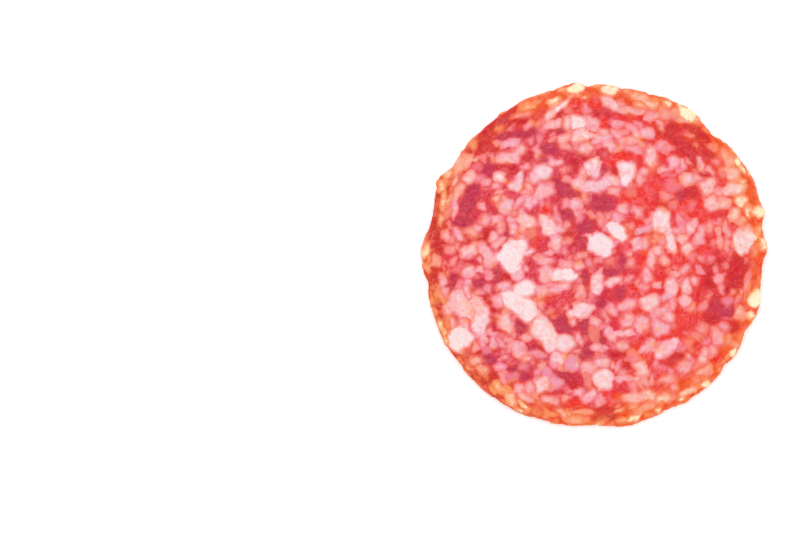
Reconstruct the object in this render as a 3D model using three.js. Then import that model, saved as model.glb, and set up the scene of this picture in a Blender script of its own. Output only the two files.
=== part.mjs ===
// A slice of cured sausage: one thin disc cut across a fine-ground salami, with its casing peeled off.
// Millimetres, +Z up. The origin is the centre of the underside that the slice rests on, and X and Y lie
// across the cut face.
import * as THREE from "three";

// Driving dimensions.
const SLICE_RADIUS = 43.0; // mean radius of the sausage, without its casing
const SLICE_THICKNESS = 1.5; // a machine-cut slice
const EDGE_ROUNDING = 0.25; // how far the knife's edge is worn back, above and below
const FLAT_SHARE = 0.78; // the share of the radius, from the middle, that lies flat
const EDGE_LIFT = 0.9; // the most that the limp edge stands up from the table
const SEGMENTS = 200;

// The sausage isn't a true circle: slow swells go round it this many times, with a crest at this angle.
const SWELLS = [
  { times: 2, height: 0.32, crest: 56 },
  { times: 4, height: 0.2, crest: 35 },
  { times: 5, height: 0.24, crest: 25 },
];

// Grains of fat stand out of the peeled edge, and dips lie between them. Angles and spreads are in degrees,
// counter-clockwise from +X. A negative height is a dip.
const EDGE_BUMPS = [
  { at: 3, height: 0.5, spread: 2.5 },
  { at: 9, height: -0.6, spread: 3.5 },
  { at: 15, height: 0.7, spread: 2.5 },
  { at: 26, height: 0.5, spread: 5 },
  { at: 46.5, height: -1.0, spread: 4 },
  { at: 58, height: 0.8, spread: 5 },
  { at: 66, height: 0.4, spread: 3 },
  { at: 81, height: -0.4, spread: 4 },
  { at: 92, height: -0.5, spread: 2.5 },
  { at: 97, height: 0.6, spread: 2.5 },
  { at: 108, height: -0.35, spread: 4 },
  { at: 147, height: -0.6, spread: 4 },
  { at: 154, height: 1.2, spread: 3.5 },
  { at: 167, height: -0.7, spread: 5 },
  { at: 178, height: 0.8, spread: 3 },
  { at: 184, height: 0.5, spread: 2.5 },
  { at: 189, height: -0.4, spread: 3 },
  { at: 211, height: 0.4, spread: 5 },
  { at: 240, height: 0.3, spread: 5 },
  { at: 269, height: -0.5, spread: 5 },
  { at: 281, height: 0.7, spread: 4 },
  { at: 296, height: -0.6, spread: 3.5 },
  { at: 320, height: -0.4, spread: 2.5 },
  { at: 326, height: 0.3, spread: 3 },
  { at: 333, height: -0.5, spread: 3 },
  { at: 342, height: 0.7, spread: 4.5 },
  { at: 353, height: -0.5, spread: 4 },
];

// The angle from b to a, in degrees, the short way round.
function turnBetween(a, b) {
  return THREE.MathUtils.euclideanModulo(a - b + 180, 360) - 180;
}

// How far the edge is from the middle at this angle.
function edgeRadius(degrees) {
  const swell = SWELLS.reduce(
    (sum, s) => sum + s.height * Math.cos(THREE.MathUtils.degToRad(s.times * (degrees - s.crest))),
    0,
  );
  const bump = EDGE_BUMPS.reduce(
    (sum, b) => sum + b.height * Math.exp(-((turnBetween(degrees, b.at) / b.spread) ** 2)),
    0,
  );
  return SLICE_RADIUS + swell + bump;
}

// How high the limp edge lifts at this angle and share of the radius. The middle stays flat.
function lift(degrees, share) {
  const angle = THREE.MathUtils.degToRad(degrees);
  const round = 0.5 + 0.3 * Math.cos(2 * (angle - 0.5)) + 0.2 * Math.cos(3 * (angle + 0.3));
  const outwards = Math.max(0, (share - FLAT_SHARE) / (1 - FLAT_SHARE));
  return EDGE_LIFT * round * outwards ** 2;
}

// A round blank turned about the axis: underside, rounded edge, upper cut face.
function sliceBlank() {
  const flat = SLICE_RADIUS * FLAT_SHARE;
  const shoulder = SLICE_RADIUS - EDGE_ROUNDING;
  const halfway = (flat + shoulder) / 2;
  const profile = [
    new THREE.Vector2(0, 0),
    new THREE.Vector2(flat, 0),
    new THREE.Vector2(halfway, 0),
    new THREE.Vector2(shoulder, 0),
    new THREE.Vector2(SLICE_RADIUS, EDGE_ROUNDING),
    new THREE.Vector2(SLICE_RADIUS, SLICE_THICKNESS - EDGE_ROUNDING),
    new THREE.Vector2(shoulder, SLICE_THICKNESS),
    new THREE.Vector2(halfway, SLICE_THICKNESS),
    new THREE.Vector2(flat, SLICE_THICKNESS),
    new THREE.Vector2(0, SLICE_THICKNESS),
  ];
  // A lathe turns about Y, so the blank is stood up to turn about Z.
  return new THREE.LatheGeometry(profile, SEGMENTS).rotateX(Math.PI / 2);
}

// The blank with its edge pushed out to the sausage's own outline and lifted where it is limp.
function sliceGeometry() {
  const geometry = sliceBlank();
  const position = geometry.getAttribute("position");
  const point = new THREE.Vector3();
  for (let i = 0; i < position.count; i += 1) {
    point.fromBufferAttribute(position, i);
    const distance = Math.hypot(point.x, point.y);
    const share = distance / SLICE_RADIUS;
    const degrees = THREE.MathUtils.radToDeg(Math.atan2(point.y, point.x));
    const stretch = 1 + share * (edgeRadius(degrees) / SLICE_RADIUS - 1);
    position.setXYZ(i, point.x * stretch, point.y * stretch, point.z + lift(degrees, share));
  }
  // The outline isn't even, so its middle is found again before it is set on the origin.
  geometry.computeBoundingBox();
  const middle = geometry.boundingBox.getCenter(new THREE.Vector3());
  geometry.translate(-middle.x, -middle.y, -geometry.boundingBox.min.z);
  geometry.computeVertexNormals();
  return geometry;
}

function salamiSlice() {
  const meat = new THREE.MeshStandardMaterial({ color: 0xd9666a, roughness: 0.45, metalness: 0 });
  const slice = new THREE.Mesh(sliceGeometry(), meat);
  slice.name = "salami_slice";
  return slice;
}

const part = new THREE.Group();
part.name = "cured_sausage";
part.add(salamiSlice());

export default part;
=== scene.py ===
"""A thin slice of cured sausage: ground fat and lean, peeled of its casing, lying on a plain floor."""

import math

import bpy
import numpy as np
from bpy.props import FloatProperty, FloatVectorProperty, IntProperty, PointerProperty
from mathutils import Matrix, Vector, noise


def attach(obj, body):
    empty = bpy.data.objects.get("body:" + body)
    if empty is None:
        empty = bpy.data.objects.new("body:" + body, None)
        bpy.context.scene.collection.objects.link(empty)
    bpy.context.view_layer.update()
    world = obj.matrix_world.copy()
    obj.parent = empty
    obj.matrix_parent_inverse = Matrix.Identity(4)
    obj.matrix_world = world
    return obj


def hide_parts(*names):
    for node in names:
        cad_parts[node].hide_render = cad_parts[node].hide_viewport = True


bl_info = {
    "name": "Cured Sausage Slice",
    "version": (1, 0, 0),
    "blender": (4, 5, 0),
    "location": "3D View > Sidebar > Sausage",
    "description": "Makes a thin slice of fine-ground cured sausage and the plain stage it lies on",
    "category": "Object",
}

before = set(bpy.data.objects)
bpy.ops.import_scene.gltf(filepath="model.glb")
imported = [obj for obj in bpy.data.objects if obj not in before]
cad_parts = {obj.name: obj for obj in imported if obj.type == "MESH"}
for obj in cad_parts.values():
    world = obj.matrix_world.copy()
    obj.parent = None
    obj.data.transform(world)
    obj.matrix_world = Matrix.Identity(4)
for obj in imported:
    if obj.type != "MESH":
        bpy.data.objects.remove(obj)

NODE = "salami_slice"
MM = 0.001
TAU = 2.0 * math.pi

# The larger pieces of fat on the upper cut face. Each is: x and y of its middle, its length and its
# width in millimetres, the turn of its length from +X in degrees, how white it is from 0 to 1, and its
# cast, from -1 for lilac through 0 for pink to 1 for peach. A few tiny lilac-white marks among them are
# painted highlights: glints of the wet surface, drawn as fat.
FAT_PIECES = (
    # round the middle
    (1.2, 2.7, 7.2, 4.8, -22, 1.0, -0.1),
    (5.9, 5.9, 5.8, 3.3, -45, 0.95, 0.1),
    (6.1, 9.3, 3.0, 2.4, -10, 0.55, 0.0),
    (7.2, 11.6, 3.0, 2.7, 20, 0.5, 0.1),
    (2.2, 8.8, 2.3, 3.0, 15, 0.35, 0.2),
    (-3.6, 9.1, 2.2, 2.5, 0, 0.4, 0.0),
    (-3.4, 10.9, 2.8, 1.4, -10, 0.35, 0.1),
    (-0.9, 10.3, 2.5, 1.4, -20, 0.35, 0.0),
    (-6.8, 12.8, 2.3, 2.6, 0, 0.42, 0.0),
    (-13.0, 12.5, 1.6, 3.1, 0, 0.42, -0.3),
    (-11.7, 7.6, 5.6, 3.7, -62, 0.75, 0.3),
    (-8.7, 6.4, 2.6, 2.4, 20, 0.5, 0.0),
    (-9.7, 3.0, 4.6, 3.0, 95, 0.55, 0.1),
    (-9.2, 9.3, 1.8, 3.0, 20, 0.4, -0.5),
    (-7.1, 1.0, 2.0, 2.0, 0, 0.4, 0.0),
    (-6.4, 3.5, 3.4, 1.2, 28, 0.4, 0.4),
    (-12.7, -1.3, 4.2, 2.6, -12, 0.42, 0.0),
    (-6.8, -2.3, 3.2, 2.3, -20, 0.45, 0.1),
    (-4.0, -2.7, 2.6, 2.2, 0, 0.6, 0.0),
    (-7.4, -5.1, 6.6, 3.2, 4, 0.95, 0.0),
    (-12.0, -5.0, 4.0, 4.0, 40, 0.5, 0.1),
    (-15.6, 5.4, 3.2, 2.4, -20, 0.0, 0.6),
    (-13.0, -9.1, 3.6, 2.8, 20, 0.45, 0.0),
    (-8.8, -8.4, 5.2, 2.2, 14, 0.5, 0.0),
    (0.9, -7.0, 5.8, 2.9, 80, 0.7, 0.2),
    (5.2, -6.6, 4.7, 2.3, 18, 0.6, 0.1),
    (8.6, -6.0, 2.6, 1.6, 30, 0.4, 0.0),
    (-3.3, -14.0, 6.4, 3.7, 16, 0.72, 0.1),
    (-3.2, -9.4, 2.2, 3.0, 0, 0.45, 0.2),
    (10.7, 2.7, 3.2, 2.8, 15, 0.55, 0.0),
    (13.0, 2.9, 1.9, 2.6, 0, 0.5, 0.3),
    (10.9, 10.9, 3.0, 2.5, 10, 0.5, 0.2),
    (9.4, 7.3, 1.8, 1.8, 0, 0.35, 0.1),
    # The next two lilac-white marks are painted highlights: glints of the wet surface, drawn as fat.
    (12.6, 6.4, 4.2, 1.7, 24, 0.55, -1.0),
    (6.0, 3.1, 2.2, 1.0, 30, 0.6, -1.0),
    (3.0, 6.8, 1.4, 1.7, 10, 0.5, -0.8),
    (13.6, -4.6, 2.6, 4.2, 8, 0.5, -0.1),
    (9.3, -1.9, 2.6, 2.2, 30, 0.4, 0.3),
    (14.4, -1.8, 2.2, 4.6, 5, 0.55, 0.1),
    (4.4, -1.6, 2.5, 2.5, 0, 0.1, 0.5),
    (12.4, -8.0, 2.6, 1.6, -15, 0.4, 0.0),
    (-1.0, -2.0, 1.8, 2.8, 20, 0.3, -0.4),
    (1.2, -1.3, 2.0, 1.7, 0, 0.3, -0.1),
    (14.0, -11.9, 5.0, 3.4, 8, 0.7, 0.3),
    (8.7, -12.4, 4.8, 2.6, 20, 0.45, 0.0),
    (-11.0, -14.2, 2.4, 1.2, 20, 0.2, 0.2),
    # right of the middle
    (17.0, 8.6, 6.0, 4.4, 108, 0.78, 0.0),
    (18.9, 6.0, 2.2, 2.4, -40, 0.6, 0.0),
    (24.4, 7.0, 4.2, 2.6, 58, 0.55, 0.1),
    (20.2, 6.2, 2.4, 1.8, 0, 0.42, 0.0),
    (22.2, 4.1, 2.5, 2.9, 10, 0.72, 0.3),
    (19.3, 3.0, 2.5, 4.5, 14, 0.75, 0.3),
    (23.9, 1.6, 3.4, 2.5, 22, 0.75, 0.4),
    (26.4, 4.1, 2.8, 3.6, -30, 0.62, -0.5),
    (27.1, 6.2, 2.0, 2.4, 0, 0.45, 0.0),
    (28.9, 6.9, 1.6, 3.4, 5, 0.42, 0.4),
    (31.4, 4.6, 1.6, 6.0, 10, 0.4, 0.6),
    (33.3, 6.4, 1.8, 3.8, 12, 0.5, 0.5),
    (33.4, 2.4, 1.5, 3.2, 0, 0.35, 0.4),
    (37.6, 3.7, 5.0, 6.4, -14, 0.85, 0.6),
    (42.5, 2.3, 1.9, 4.2, 4, 0.75, 0.9),
    (41.4, 10.8, 3.1, 3.3, 20, 0.75, 0.9),
    (29.4, 12.7, 3.8, 3.6, 20, 0.62, 0.5),
    (32.6, 13.0, 3.0, 2.6, 0, 0.62, 0.6),
    (35.4, 10.0, 3.2, 2.6, 60, 0.55, 0.8),
    (36.9, 13.6, 3.2, 3.0, 30, 0.6, 0.9),
    (38.7, 11.0, 1.8, 3.4, 10, 0.5, 0.9),
    (37.2, 8.6, 2.8, 1.8, 40, 0.55, 0.8),
    (17.8, -1.3, 2.4, 2.4, 0, 0.6, 0.2),
    (15.9, 1.1, 2.6, 2.4, 0, 0.55, 0.1),
    (17.3, 3.6, 1.8, 2.2, 0, 0.45, -0.4),
    (22.6, -3.5, 2.6, 2.0, 35, 0.6, 0.1),
    (19.5, -7.8, 3.0, 4.6, 0, 0.6, 0.1),
    (20.4, -5.0, 2.4, 1.6, 0, 0.5, 0.2),
    (23.2, -8.0, 2.6, 3.8, 8, 0.6, 0.2),
    (25.4, -6.6, 2.2, 2.0, 0, 0.55, 0.1),
    (23.0, -11.6, 3.0, 3.0, 0, 0.6, 0.1),
    (18.4, -10.3, 3.6, 2.0, 40, 0.55, -0.5),
    (19.8, -12.6, 1.8, 3.4, 10, 0.5, 0.0),
    (15.8, -7.6, 2.4, 2.0, 20, 0.5, 0.1),
    (27.5, -12.5, 1.8, 3.2, -30, 0.35, 0.2),
    (29.0, -10.4, 2.6, 1.6, 40, 0.25, 0.3),
    (31.3, -5.8, 2.8, 3.0, 10, 0.52, 0.1),
    (31.9, -8.4, 1.3, 2.6, 15, 0.4, 0.1),
    (38.6, -6.7, 1.6, 5.6, -8, 0.28, 0.1),
    (40.5, -10.9, 3.2, 4.6, -20, 0.97, 1.0),
    (36.9, -14.6, 3.0, 3.2, 20, 0.55, 0.6),
    (33.5, -11.8, 2.8, 2.2, 20, 0.2, -0.8),
    (36.2, -11.2, 1.2, 2.4, -30, 0.35, -0.3),
    (27.0, -1.0, 2.2, 1.6, 0, 0.4, 0.0),
    (29.2, -1.3, 1.8, 1.6, 0, 0.4, 0.0),
    (26.6, -3.9, 1.8, 2.6, 20, 0.4, -0.8),
    (33.2, -2.8, 1.4, 1.6, 0, 0.25, -0.5),
    # A painted highlight: a tiny glint of the wet surface, drawn as a fleck of fat.
    (38.4, -1.5, 0.9, 1.6, -10, 0.5, -0.2),
    (40.3, 0.8, 1.8, 2.4, 30, 0.45, 0.7),
    # upper right
    (23.9, 35.3, 5.4, 3.4, -34, 1.0, 1.0),
    (25.6, 33.9, 2.6, 1.9, -30, 0.6, 0.85),
    (22.6, 33.7, 3.4, 1.3, -8, 0.6, 0.7),
    (22.6, 37.2, 3.6, 1.1, -22, 0.5, 0.95),
    (18.4, 37.8, 2.4, 1.8, -15, 0.6, 0.9),
    (20.7, 35.8, 2.4, 2.6, 0, 0.5, 0.75),
    (17.0, 32.4, 1.6, 3.4, 28, 0.4, 0.1),
    (23.6, 30.3, 2.8, 1.1, -15, 0.2, 0.2),
    (28.4, 31.5, 2.0, 1.0, -40, 0.5, 0.8),
    (19.8, 23.4, 3.4, 2.8, 10, 0.6, 0.0),
    (19.6, 17.4, 3.8, 2.8, -20, 0.0, -0.2),
    (22.8, 9.9, 3.4, 1.6, -40, 0.0, -0.2),
    (20.0, 12.6, 2.4, 2.2, 0, 0.0, -0.3),
    (24.6, 12.4, 1.8, 2.6, -20, 0.0, -0.4),
    (9.2, 15.6, 2.6, 1.6, 0, 0.0, 0.4),
    (18.6, 20.2, 3.0, 2.0, 0, 0.0, -0.2),
    (22.3, 22.6, 1.4, 3.4, 8, 0.5, -0.2),
    (23.2, 19.0, 3.3, 2.9, -25, 0.8, -0.5),
    (17.2, 26.9, 4.2, 3.0, -20, 0.3, 0.0),
    (17.6, 21.3, 3.2, 2.0, 10, 0.5, 0.1),
    (26.7, 22.8, 1.8, 4.2, 28, 0.5, -0.4),
    (29.0, 21.2, 1.4, 3.0, 50, 0.42, 0.0),
    (30.6, 23.4, 1.7, 2.2, 20, 0.45, 0.3),
    (29.6, 27.0, 3.2, 1.1, -30, 0.3, 0.4),
    (33.6, 23.6, 3.2, 5.0, 26, 0.42, 0.6),
    (34.6, 20.4, 4.0, 3.2, -20, 0.6, 0.7),
    (36.6, 22.5, 1.5, 4.2, 28, 0.65, 1.0),
    (38.8, 20.2, 1.4, 1.6, 20, 0.75, 1.0),
    (37.2, 18.4, 2.4, 2.0, 0, 0.6, 0.9),
    (35.2, 16.5, 5.4, 3.0, 10, 0.75, 0.72),
    (28.5, 17.4, 4.2, 3.8, 60, 0.58, 0.4),
    (31.4, 15.9, 2.2, 2.2, 0, 0.55, 0.5),
    (13.3, 30.5, 3.3, 2.7, 15, 0.65, -0.4),
    (14.6, 24.6, 3.2, 5.0, 6, 0.6, 0.2),
    (8.2, 21.3, 4.6, 4.8, 10, 0.75, 0.0),
    (8.1, 19.0, 2.7, 3.8, -8, 1.0, 0.0),
    (11.5, 18.9, 2.2, 2.6, 20, 0.5, 0.2),
    (12.6, 20.9, 2.2, 1.8, 0, 0.5, 0.0),
    # top
    (-4.5, 41.7, 3.8, 2.7, 8, 1.0, 1.0),
    (-4.8, 39.9, 3.4, 1.3, 8, 0.4, 0.75),
    (4.4, 41.2, 4.4, 2.5, -8, 0.85, 0.85),
    (0.9, 42.3, 2.0, 1.0, 0, 0.6, 1.0),
    (-8.0, 41.2, 2.6, 1.4, 10, 0.55, 1.0),
    (11.6, 39.4, 5.0, 2.2, -16, 0.5, 0.75),
    (8.4, 40.9, 2.6, 1.0, -12, 0.45, 0.8),
    (14.4, 37.6, 3.8, 2.0, -16, 0.5, 0.8),
    (4.1, 38.0, 4.8, 2.6, -32, 0.62, 0.2),
    (9.2, 36.2, 6.8, 1.6, -8, 0.45, 0.3),
    (7.0, 37.8, 2.2, 1.4, -30, 0.4, 0.2),
    (14.4, 34.6, 3.4, 2.2, 20, 0.45, 0.3),
    (-8.2, 37.4, 4.6, 1.6, 38, 1.0, 0.2),
    (-10.8, 35.4, 4.2, 2.1, 48, 0.68, 0.45),
    (-6.6, 36.4, 2.0, 1.6, 20, 0.2, -0.2),
    (-2.0, 36.4, 2.2, 2.6, 30, 0.3, -0.1),
    (-4.1, 33.0, 3.9, 4.5, 12, 0.95, 0.4),
    (-6.7, 32.8, 2.8, 3.6, -20, 0.75, 0.45),
    (-9.6, 32.8, 5.0, 2.3, 8, 0.55, 0.25),
    (-3.4, 30.3, 6.0, 3.2, 8, 0.72, 0.4),
    (-7.0, 29.4, 4.4, 2.1, 24, 0.52, 0.4),
    (-0.7, 32.8, 3.6, 4.0, 0, 0.5, 0.25),
    (2.3, 30.9, 3.0, 2.0, -24, 0.6, 0.0),
    (-1.9, 26.9, 3.2, 2.8, 10, 0.55, 0.0),
    (-7.2, 27.2, 3.2, 1.6, -25, 0.45, 0.2),
    (3.7, 27.4, 3.2, 2.2, -30, 0.5, 0.1),
    (8.0, 28.6, 5.4, 2.2, -8, 0.42, 0.1),
    (10.1, 26.4, 4.6, 1.8, -15, 0.45, 0.1),
    (6.2, 32.6, 3.8, 2.0, -18, 0.4, 0.0),
    (9.6, 31.9, 3.0, 1.5, -10, 0.4, 0.0),
    (0.9, 27.0, 1.8, 1.2, 30, 0.4, 0.1),
    (-0.6, 21.9, 5.6, 3.4, 34, 0.75, 0.1),
    (0.8, 20.9, 2.6, 3.4, 0, 0.75, -0.5),
    (-2.4, 20.8, 2.4, 3.0, 10, 0.6, 0.5),
    (0.2, 17.1, 5.8, 3.2, 4, 0.66, -0.35),
    (-3.7, 18.2, 3.4, 3.6, 20, 0.55, 0.1),
    (4.3, 18.4, 5.0, 3.4, -24, 0.64, -0.25),
    (5.4, 16.0, 4.4, 2.5, -20, 0.6, 0.1),
    (-9.8, 23.2, 4.0, 2.2, -12, 0.5, -0.2),
    (-12.7, 20.9, 4.4, 3.6, -10, 0.85, -0.3),
    (-7.8, 21.1, 1.8, 1.6, 0, 0.4, 0.1),
    (-7.0, 19.1, 2.6, 1.8, -20, 0.45, 0.0),
    # upper left
    (-14.3, 26.0, 2.2, 3.0, 20, 0.45, -0.5),
    (-10.3, 29.0, 2.4, 1.1, 15, 0.35, -0.3),
    (-13.6, 29.3, 1.6, 2.0, 0, 0.3, -0.6),
    (-12.7, 31.4, 2.2, 1.5, 20, 0.35, -0.2),
    (-16.4, 32.4, 1.6, 3.0, -30, 0.4, -0.1),
    (-17.8, 35.2, 4.2, 1.4, 20, 0.4, 0.3),
    (-13.6, 38.4, 3.6, 1.3, 20, 0.35, 0.8),
    (-20.6, 32.2, 3.0, 1.0, 36, 0.3, -0.2),
    (-30.3, 28.0, 1.9, 3.0, 8, 0.35, 1.0),
    (-21.0, 28.0, 4.6, 2.2, 12, 0.5, -0.6),
    (-24.4, 28.1, 2.0, 1.8, 0, 0.4, -0.4),
    (-18.4, 26.2, 3.2, 2.3, 25, 0.55, 0.2),
    (-21.5, 24.2, 6.0, 2.7, 4, 0.52, 0.1),
    (-25.4, 24.6, 1.2, 2.2, 0, 0.4, 0.0),
    (-27.6, 24.0, 1.4, 2.4, 10, 0.35, 0.0),
    (-17.6, 22.0, 3.0, 1.6, 10, 0.45, 0.0),
    (-23.7, 19.3, 3.3, 2.8, -10, 0.75, 0.1),
    (-19.2, 18.2, 5.0, 2.6, 60, 0.75, -0.35),
    (-16.1, 17.0, 2.0, 2.8, 20, 0.5, 0.4),
    (-28.2, 19.2, 3.0, 1.8, 25, 0.4, 0.1),
    (-27.0, 16.4, 2.2, 1.4, 0, 0.4, 0.1),
    (-23.6, 15.7, 2.6, 1.4, 10, 0.5, 0.2),
    (-15.8, 28.5, 1.4, 2.2, 10, 0.3, -0.7),
    (-33.2, 22.8, 6.2, 3.0, 44, 0.5, 0.72),
    (-36.4, 20.4, 3.2, 1.8, 60, 0.5, 1.0),
    (-31.2, 19.4, 4.2, 2.6, 56, 0.62, 0.4),
    (-38.1, 17.4, 2.0, 3.4, -20, 0.5, 1.0),
    (-33.6, 16.4, 4.0, 2.0, 62, 0.55, 0.6),
    # left
    (-34.7, 13.0, 1.5, 6.4, -8, 0.5, -0.1),
    (-37.7, 13.2, 1.7, 4.6, -5, 0.45, 1.0),
    (-38.4, 8.8, 1.6, 3.0, 0, 0.4, 0.9),
    (-22.2, 12.3, 3.6, 4.4, -15, 0.7, -0.6),
    (-24.2, 14.0, 2.4, 2.2, 0, 0.6, 0.0),
    (-15.9, 13.1, 2.6, 3.6, -40, 0.5, -0.1),
    (-18.6, 13.2, 1.8, 4.6, -42, 0.42, -0.2),
    (-16.9, 8.5, 4.4, 3.2, -25, 0.7, 0.5),
    (-28.1, 12.1, 2.3, 2.2, 0, 0.45, 0.1),
    (-27.2, 8.7, 2.7, 2.9, -20, 0.55, 0.2),
    (-20.0, 6.6, 2.6, 2.7, 0, 0.62, -0.5),
    (-23.2, 6.9, 1.9, 3.2, 10, 0.4, 0.4),
    (-23.8, 3.0, 3.6, 1.8, 36, 0.6, 0.3),
    (-31.0, 5.7, 4.2, 1.8, -8, 0.4, 0.5),
    (-37.1, 4.8, 2.1, 2.8, 30, 0.45, 0.3),
    (-36.0, 1.1, 2.4, 2.0, 0, 0.4, 0.5),
    (-34.3, 2.1, 1.6, 2.0, 0, 0.4, 0.4),
    (-35.3, -1.9, 1.8, 2.2, 0, 0.4, 0.4),
    (-31.6, 0.9, 4.4, 3.3, 25, 0.58, 0.4),
    (-28.7, -1.0, 1.5, 1.8, 0, 0.55, 0.2),
    (-31.4, -4.3, 3.2, 3.0, 0, 0.65, 0.2),
    (-28.8, -3.8, 2.2, 1.7, 0, 0.65, 0.1),
    (-42.3, 1.1, 2.6, 4.0, -18, 0.6, 0.85),
    (-41.8, -3.2, 1.9, 2.8, 15, 0.45, 0.85),
    (-39.5, -1.4, 2.4, 3.0, -10, 0.55, 0.7),
    (-40.2, -8.3, 1.3, 1.7, 0, 0.5, 0.7),
    (-38.0, -6.4, 2.0, 3.2, 12, 0.5, -0.3),
    (-37.3, -9.1, 2.0, 2.6, 20, 0.42, 0.0),
    (-35.6, -12.4, 5.6, 2.6, 58, 0.55, 0.1),
    (-31.7, -9.6, 2.0, 4.2, 22, 0.5, 0.0),
    (-33.7, -7.8, 1.4, 2.6, 0, 0.4, 0.1),
    (-20.6, -0.6, 7.2, 6.2, 62, 1.0, 0.1),
    (-19.0, 2.4, 4.4, 3.4, -10, 0.92, 0.2),
    (-19.0, -5.2, 3.1, 2.7, -15, 0.65, -0.3),
    (-17.3, -8.5, 5.2, 3.8, 5, 1.0, 0.1),
    (-20.4, -11.5, 6.0, 4.4, -36, 0.95, 0.3),
    (-16.6, -14.0, 7.0, 4.8, -44, 0.95, 0.3),
    (-22.6, -8.0, 3.6, 2.4, 10, 0.5, -0.1),
    (-24.0, -11.4, 3.0, 3.0, 0, 0.5, 0.1),
    (-26.7, -8.3, 2.0, 2.2, 0, 0.42, -0.6),
    (-26.4, -5.0, 2.3, 2.8, 0, 0.4, 0.0),
    (-28.9, -12.3, 5.4, 3.2, -42, 0.6, 0.3),
    # lower left
    (-13.0, -18.6, 8.0, 5.0, -54, 0.82, 0.4),
    (-33.3, -21.2, 6.6, 5.8, -15, 1.0, 0.3),
    (-28.4, -17.0, 6.0, 3.8, 68, 0.75, 0.1),
    (-32.4, -17.0, 2.6, 2.8, 0, 0.5, 0.2),
    (-35.2, -17.4, 1.8, 3.2, 20, 0.45, 0.5),
    (-38.0, -18.0, 1.9, 5.2, 15, 0.5, 1.0),
    (-37.0, -22.0, 1.7, 2.8, 25, 0.5, 1.0),
    (-22.3, -16.6, 3.6, 5.2, 32, 0.66, 0.0),
    (-29.7, -23.4, 1.9, 2.4, 0, 0.55, 0.3),
    (-29.7, -26.4, 2.9, 2.5, 10, 0.55, 0.4),
    (-31.1, -28.5, 2.4, 1.2, -30, 0.5, 0.9),
    (-28.2, -28.8, 3.2, 2.2, -30, 0.5, 0.5),
    (-25.2, -22.0, 1.8, 3.2, 5, 0.5, -0.3),
    (-26.8, -23.8, 3.2, 1.9, 30, 0.15, -0.9),
    (-23.4, -22.0, 3.2, 1.3, -44, 0.4, -0.9),
    (-28.0, -21.9, 1.4, 3.2, 10, 0.42, 0.0),
    (-23.3, -28.0, 3.2, 2.0, 10, 0.5, 0.0),
    (-20.4, -30.6, 3.4, 2.0, 30, 0.1, -0.8),
    (-17.6, -28.0, 2.6, 1.5, 10, 0.15, -0.9),
    (-14.4, -24.9, 4.8, 1.7, -10, 0.35, -0.6),
    (-22.6, -25.7, 3.0, 1.4, 20, 0.4, 0.1),
    (-18.9, -23.6, 3.6, 4.2, 40, 0.52, 0.2),
    (-17.0, -20.8, 3.2, 2.0, -10, 0.5, 0.2),
    (-21.6, -21.2, 2.0, 1.4, 0, 0.45, 0.2),
    (-16.6, -26.0, 3.2, 1.7, 10, 0.5, 0.1),
    (-22.6, -31.4, 1.8, 3.2, 20, 0.45, 0.1),
    (-18.8, -33.6, 2.5, 2.4, 0, 0.5, 0.1),
    (-15.8, -33.2, 2.6, 2.8, 0, 0.52, 0.2),
    (-13.0, -32.6, 4.8, 3.8, 8, 0.68, 0.3),
    (-9.6, -32.0, 3.3, 3.6, 0, 0.45, -0.9),
    (-20.8, -36.2, 2.6, 3.4, 20, 0.55, 0.8),
    (-17.0, -36.0, 4.0, 2.0, -20, 0.5, 0.3),
    (-25.4, -33.8, 1.4, 2.8, 35, 0.5, 1.0),
    (-18.6, -38.8, 3.4, 1.2, -12, 0.6, 1.0),
    # bottom
    (-8.4, -22.6, 6.4, 4.3, 22, 0.8, 0.15),
    (-8.9, -25.6, 3.8, 4.6, 12, 0.7, 0.15),
    (-5.4, -27.1, 3.9, 3.8, 0, 0.42, -0.9),
    # A painted highlight: a tiny glint of the wet surface, drawn as a white fleck of fat.
    (-4.0, -27.4, 1.1, 1.5, 0, 0.8, 0.1),
    (-9.2, -27.8, 3.2, 1.6, -24, 0.45, 0.1),
    (-3.6, -21.4, 2.0, 3.2, 25, 0.5, 0.0),
    (-4.2, -24.2, 2.3, 1.3, 0, 0.45, 0.0),
    (0.9, -23.3, 4.6, 1.8, -8, 0.5, 0.1),
    (0.3, -16.7, 3.0, 2.0, -20, 0.5, -0.1),
    (-0.1, -20.0, 3.0, 3.6, 0, 0.0, 0.5),
    (4.1, -19.9, 2.4, 4.4, 25, 0.5, 0.0),
    (7.9, -19.7, 5.6, 1.7, 4, 0.55, 0.2),
    (7.4, -22.8, 3.0, 2.3, -20, 0.5, 0.1),
    (8.3, -16.4, 3.6, 3.0, 30, 0.55, 0.2),
    (2.9, -17.9, 1.5, 1.6, 0, 0.45, 0.0),
    (12.1, -17.4, 3.8, 4.2, 0, 0.5, -0.2),
    (13.6, -22.8, 4.2, 2.3, 38, 0.58, -0.2),
    (2.2, -27.1, 3.6, 2.4, -12, 0.55, 0.1),
    (2.4, -31.3, 4.7, 5.0, 10, 0.8, 0.3),
    (12.0, -28.4, 3.2, 4.0, 25, 0.62, 0.6),
    (6.1, -28.2, 1.4, 2.8, -25, 0.45, -0.4),
    (8.2, -31.2, 5.8, 1.9, 0, 0.5, -0.2),
    (-11.8, -29.3, 2.4, 2.4, 0, 0.42, -0.9),
    (-13.0, -27.7, 2.2, 2.4, 20, 0.45, 0.5),
    (-6.2, -34.3, 1.8, 1.0, -5, 0.5, 0.0),
    (-7.2, -36.1, 2.4, 2.0, 0, 0.5, 0.0),
    (-11.0, -36.4, 4.2, 1.8, -18, 0.45, 0.3),
    (-4.1, -41.3, 5.2, 2.0, -4, 0.4, 0.8),
    (-2.8, -39.5, 4.4, 1.0, 2, 0.5, 0.7),
    (10.0, -40.8, 3.8, 1.9, 16, 0.75, 0.92),
    (7.2, -41.5, 2.8, 1.6, 4, 0.55, 0.85),
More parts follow.
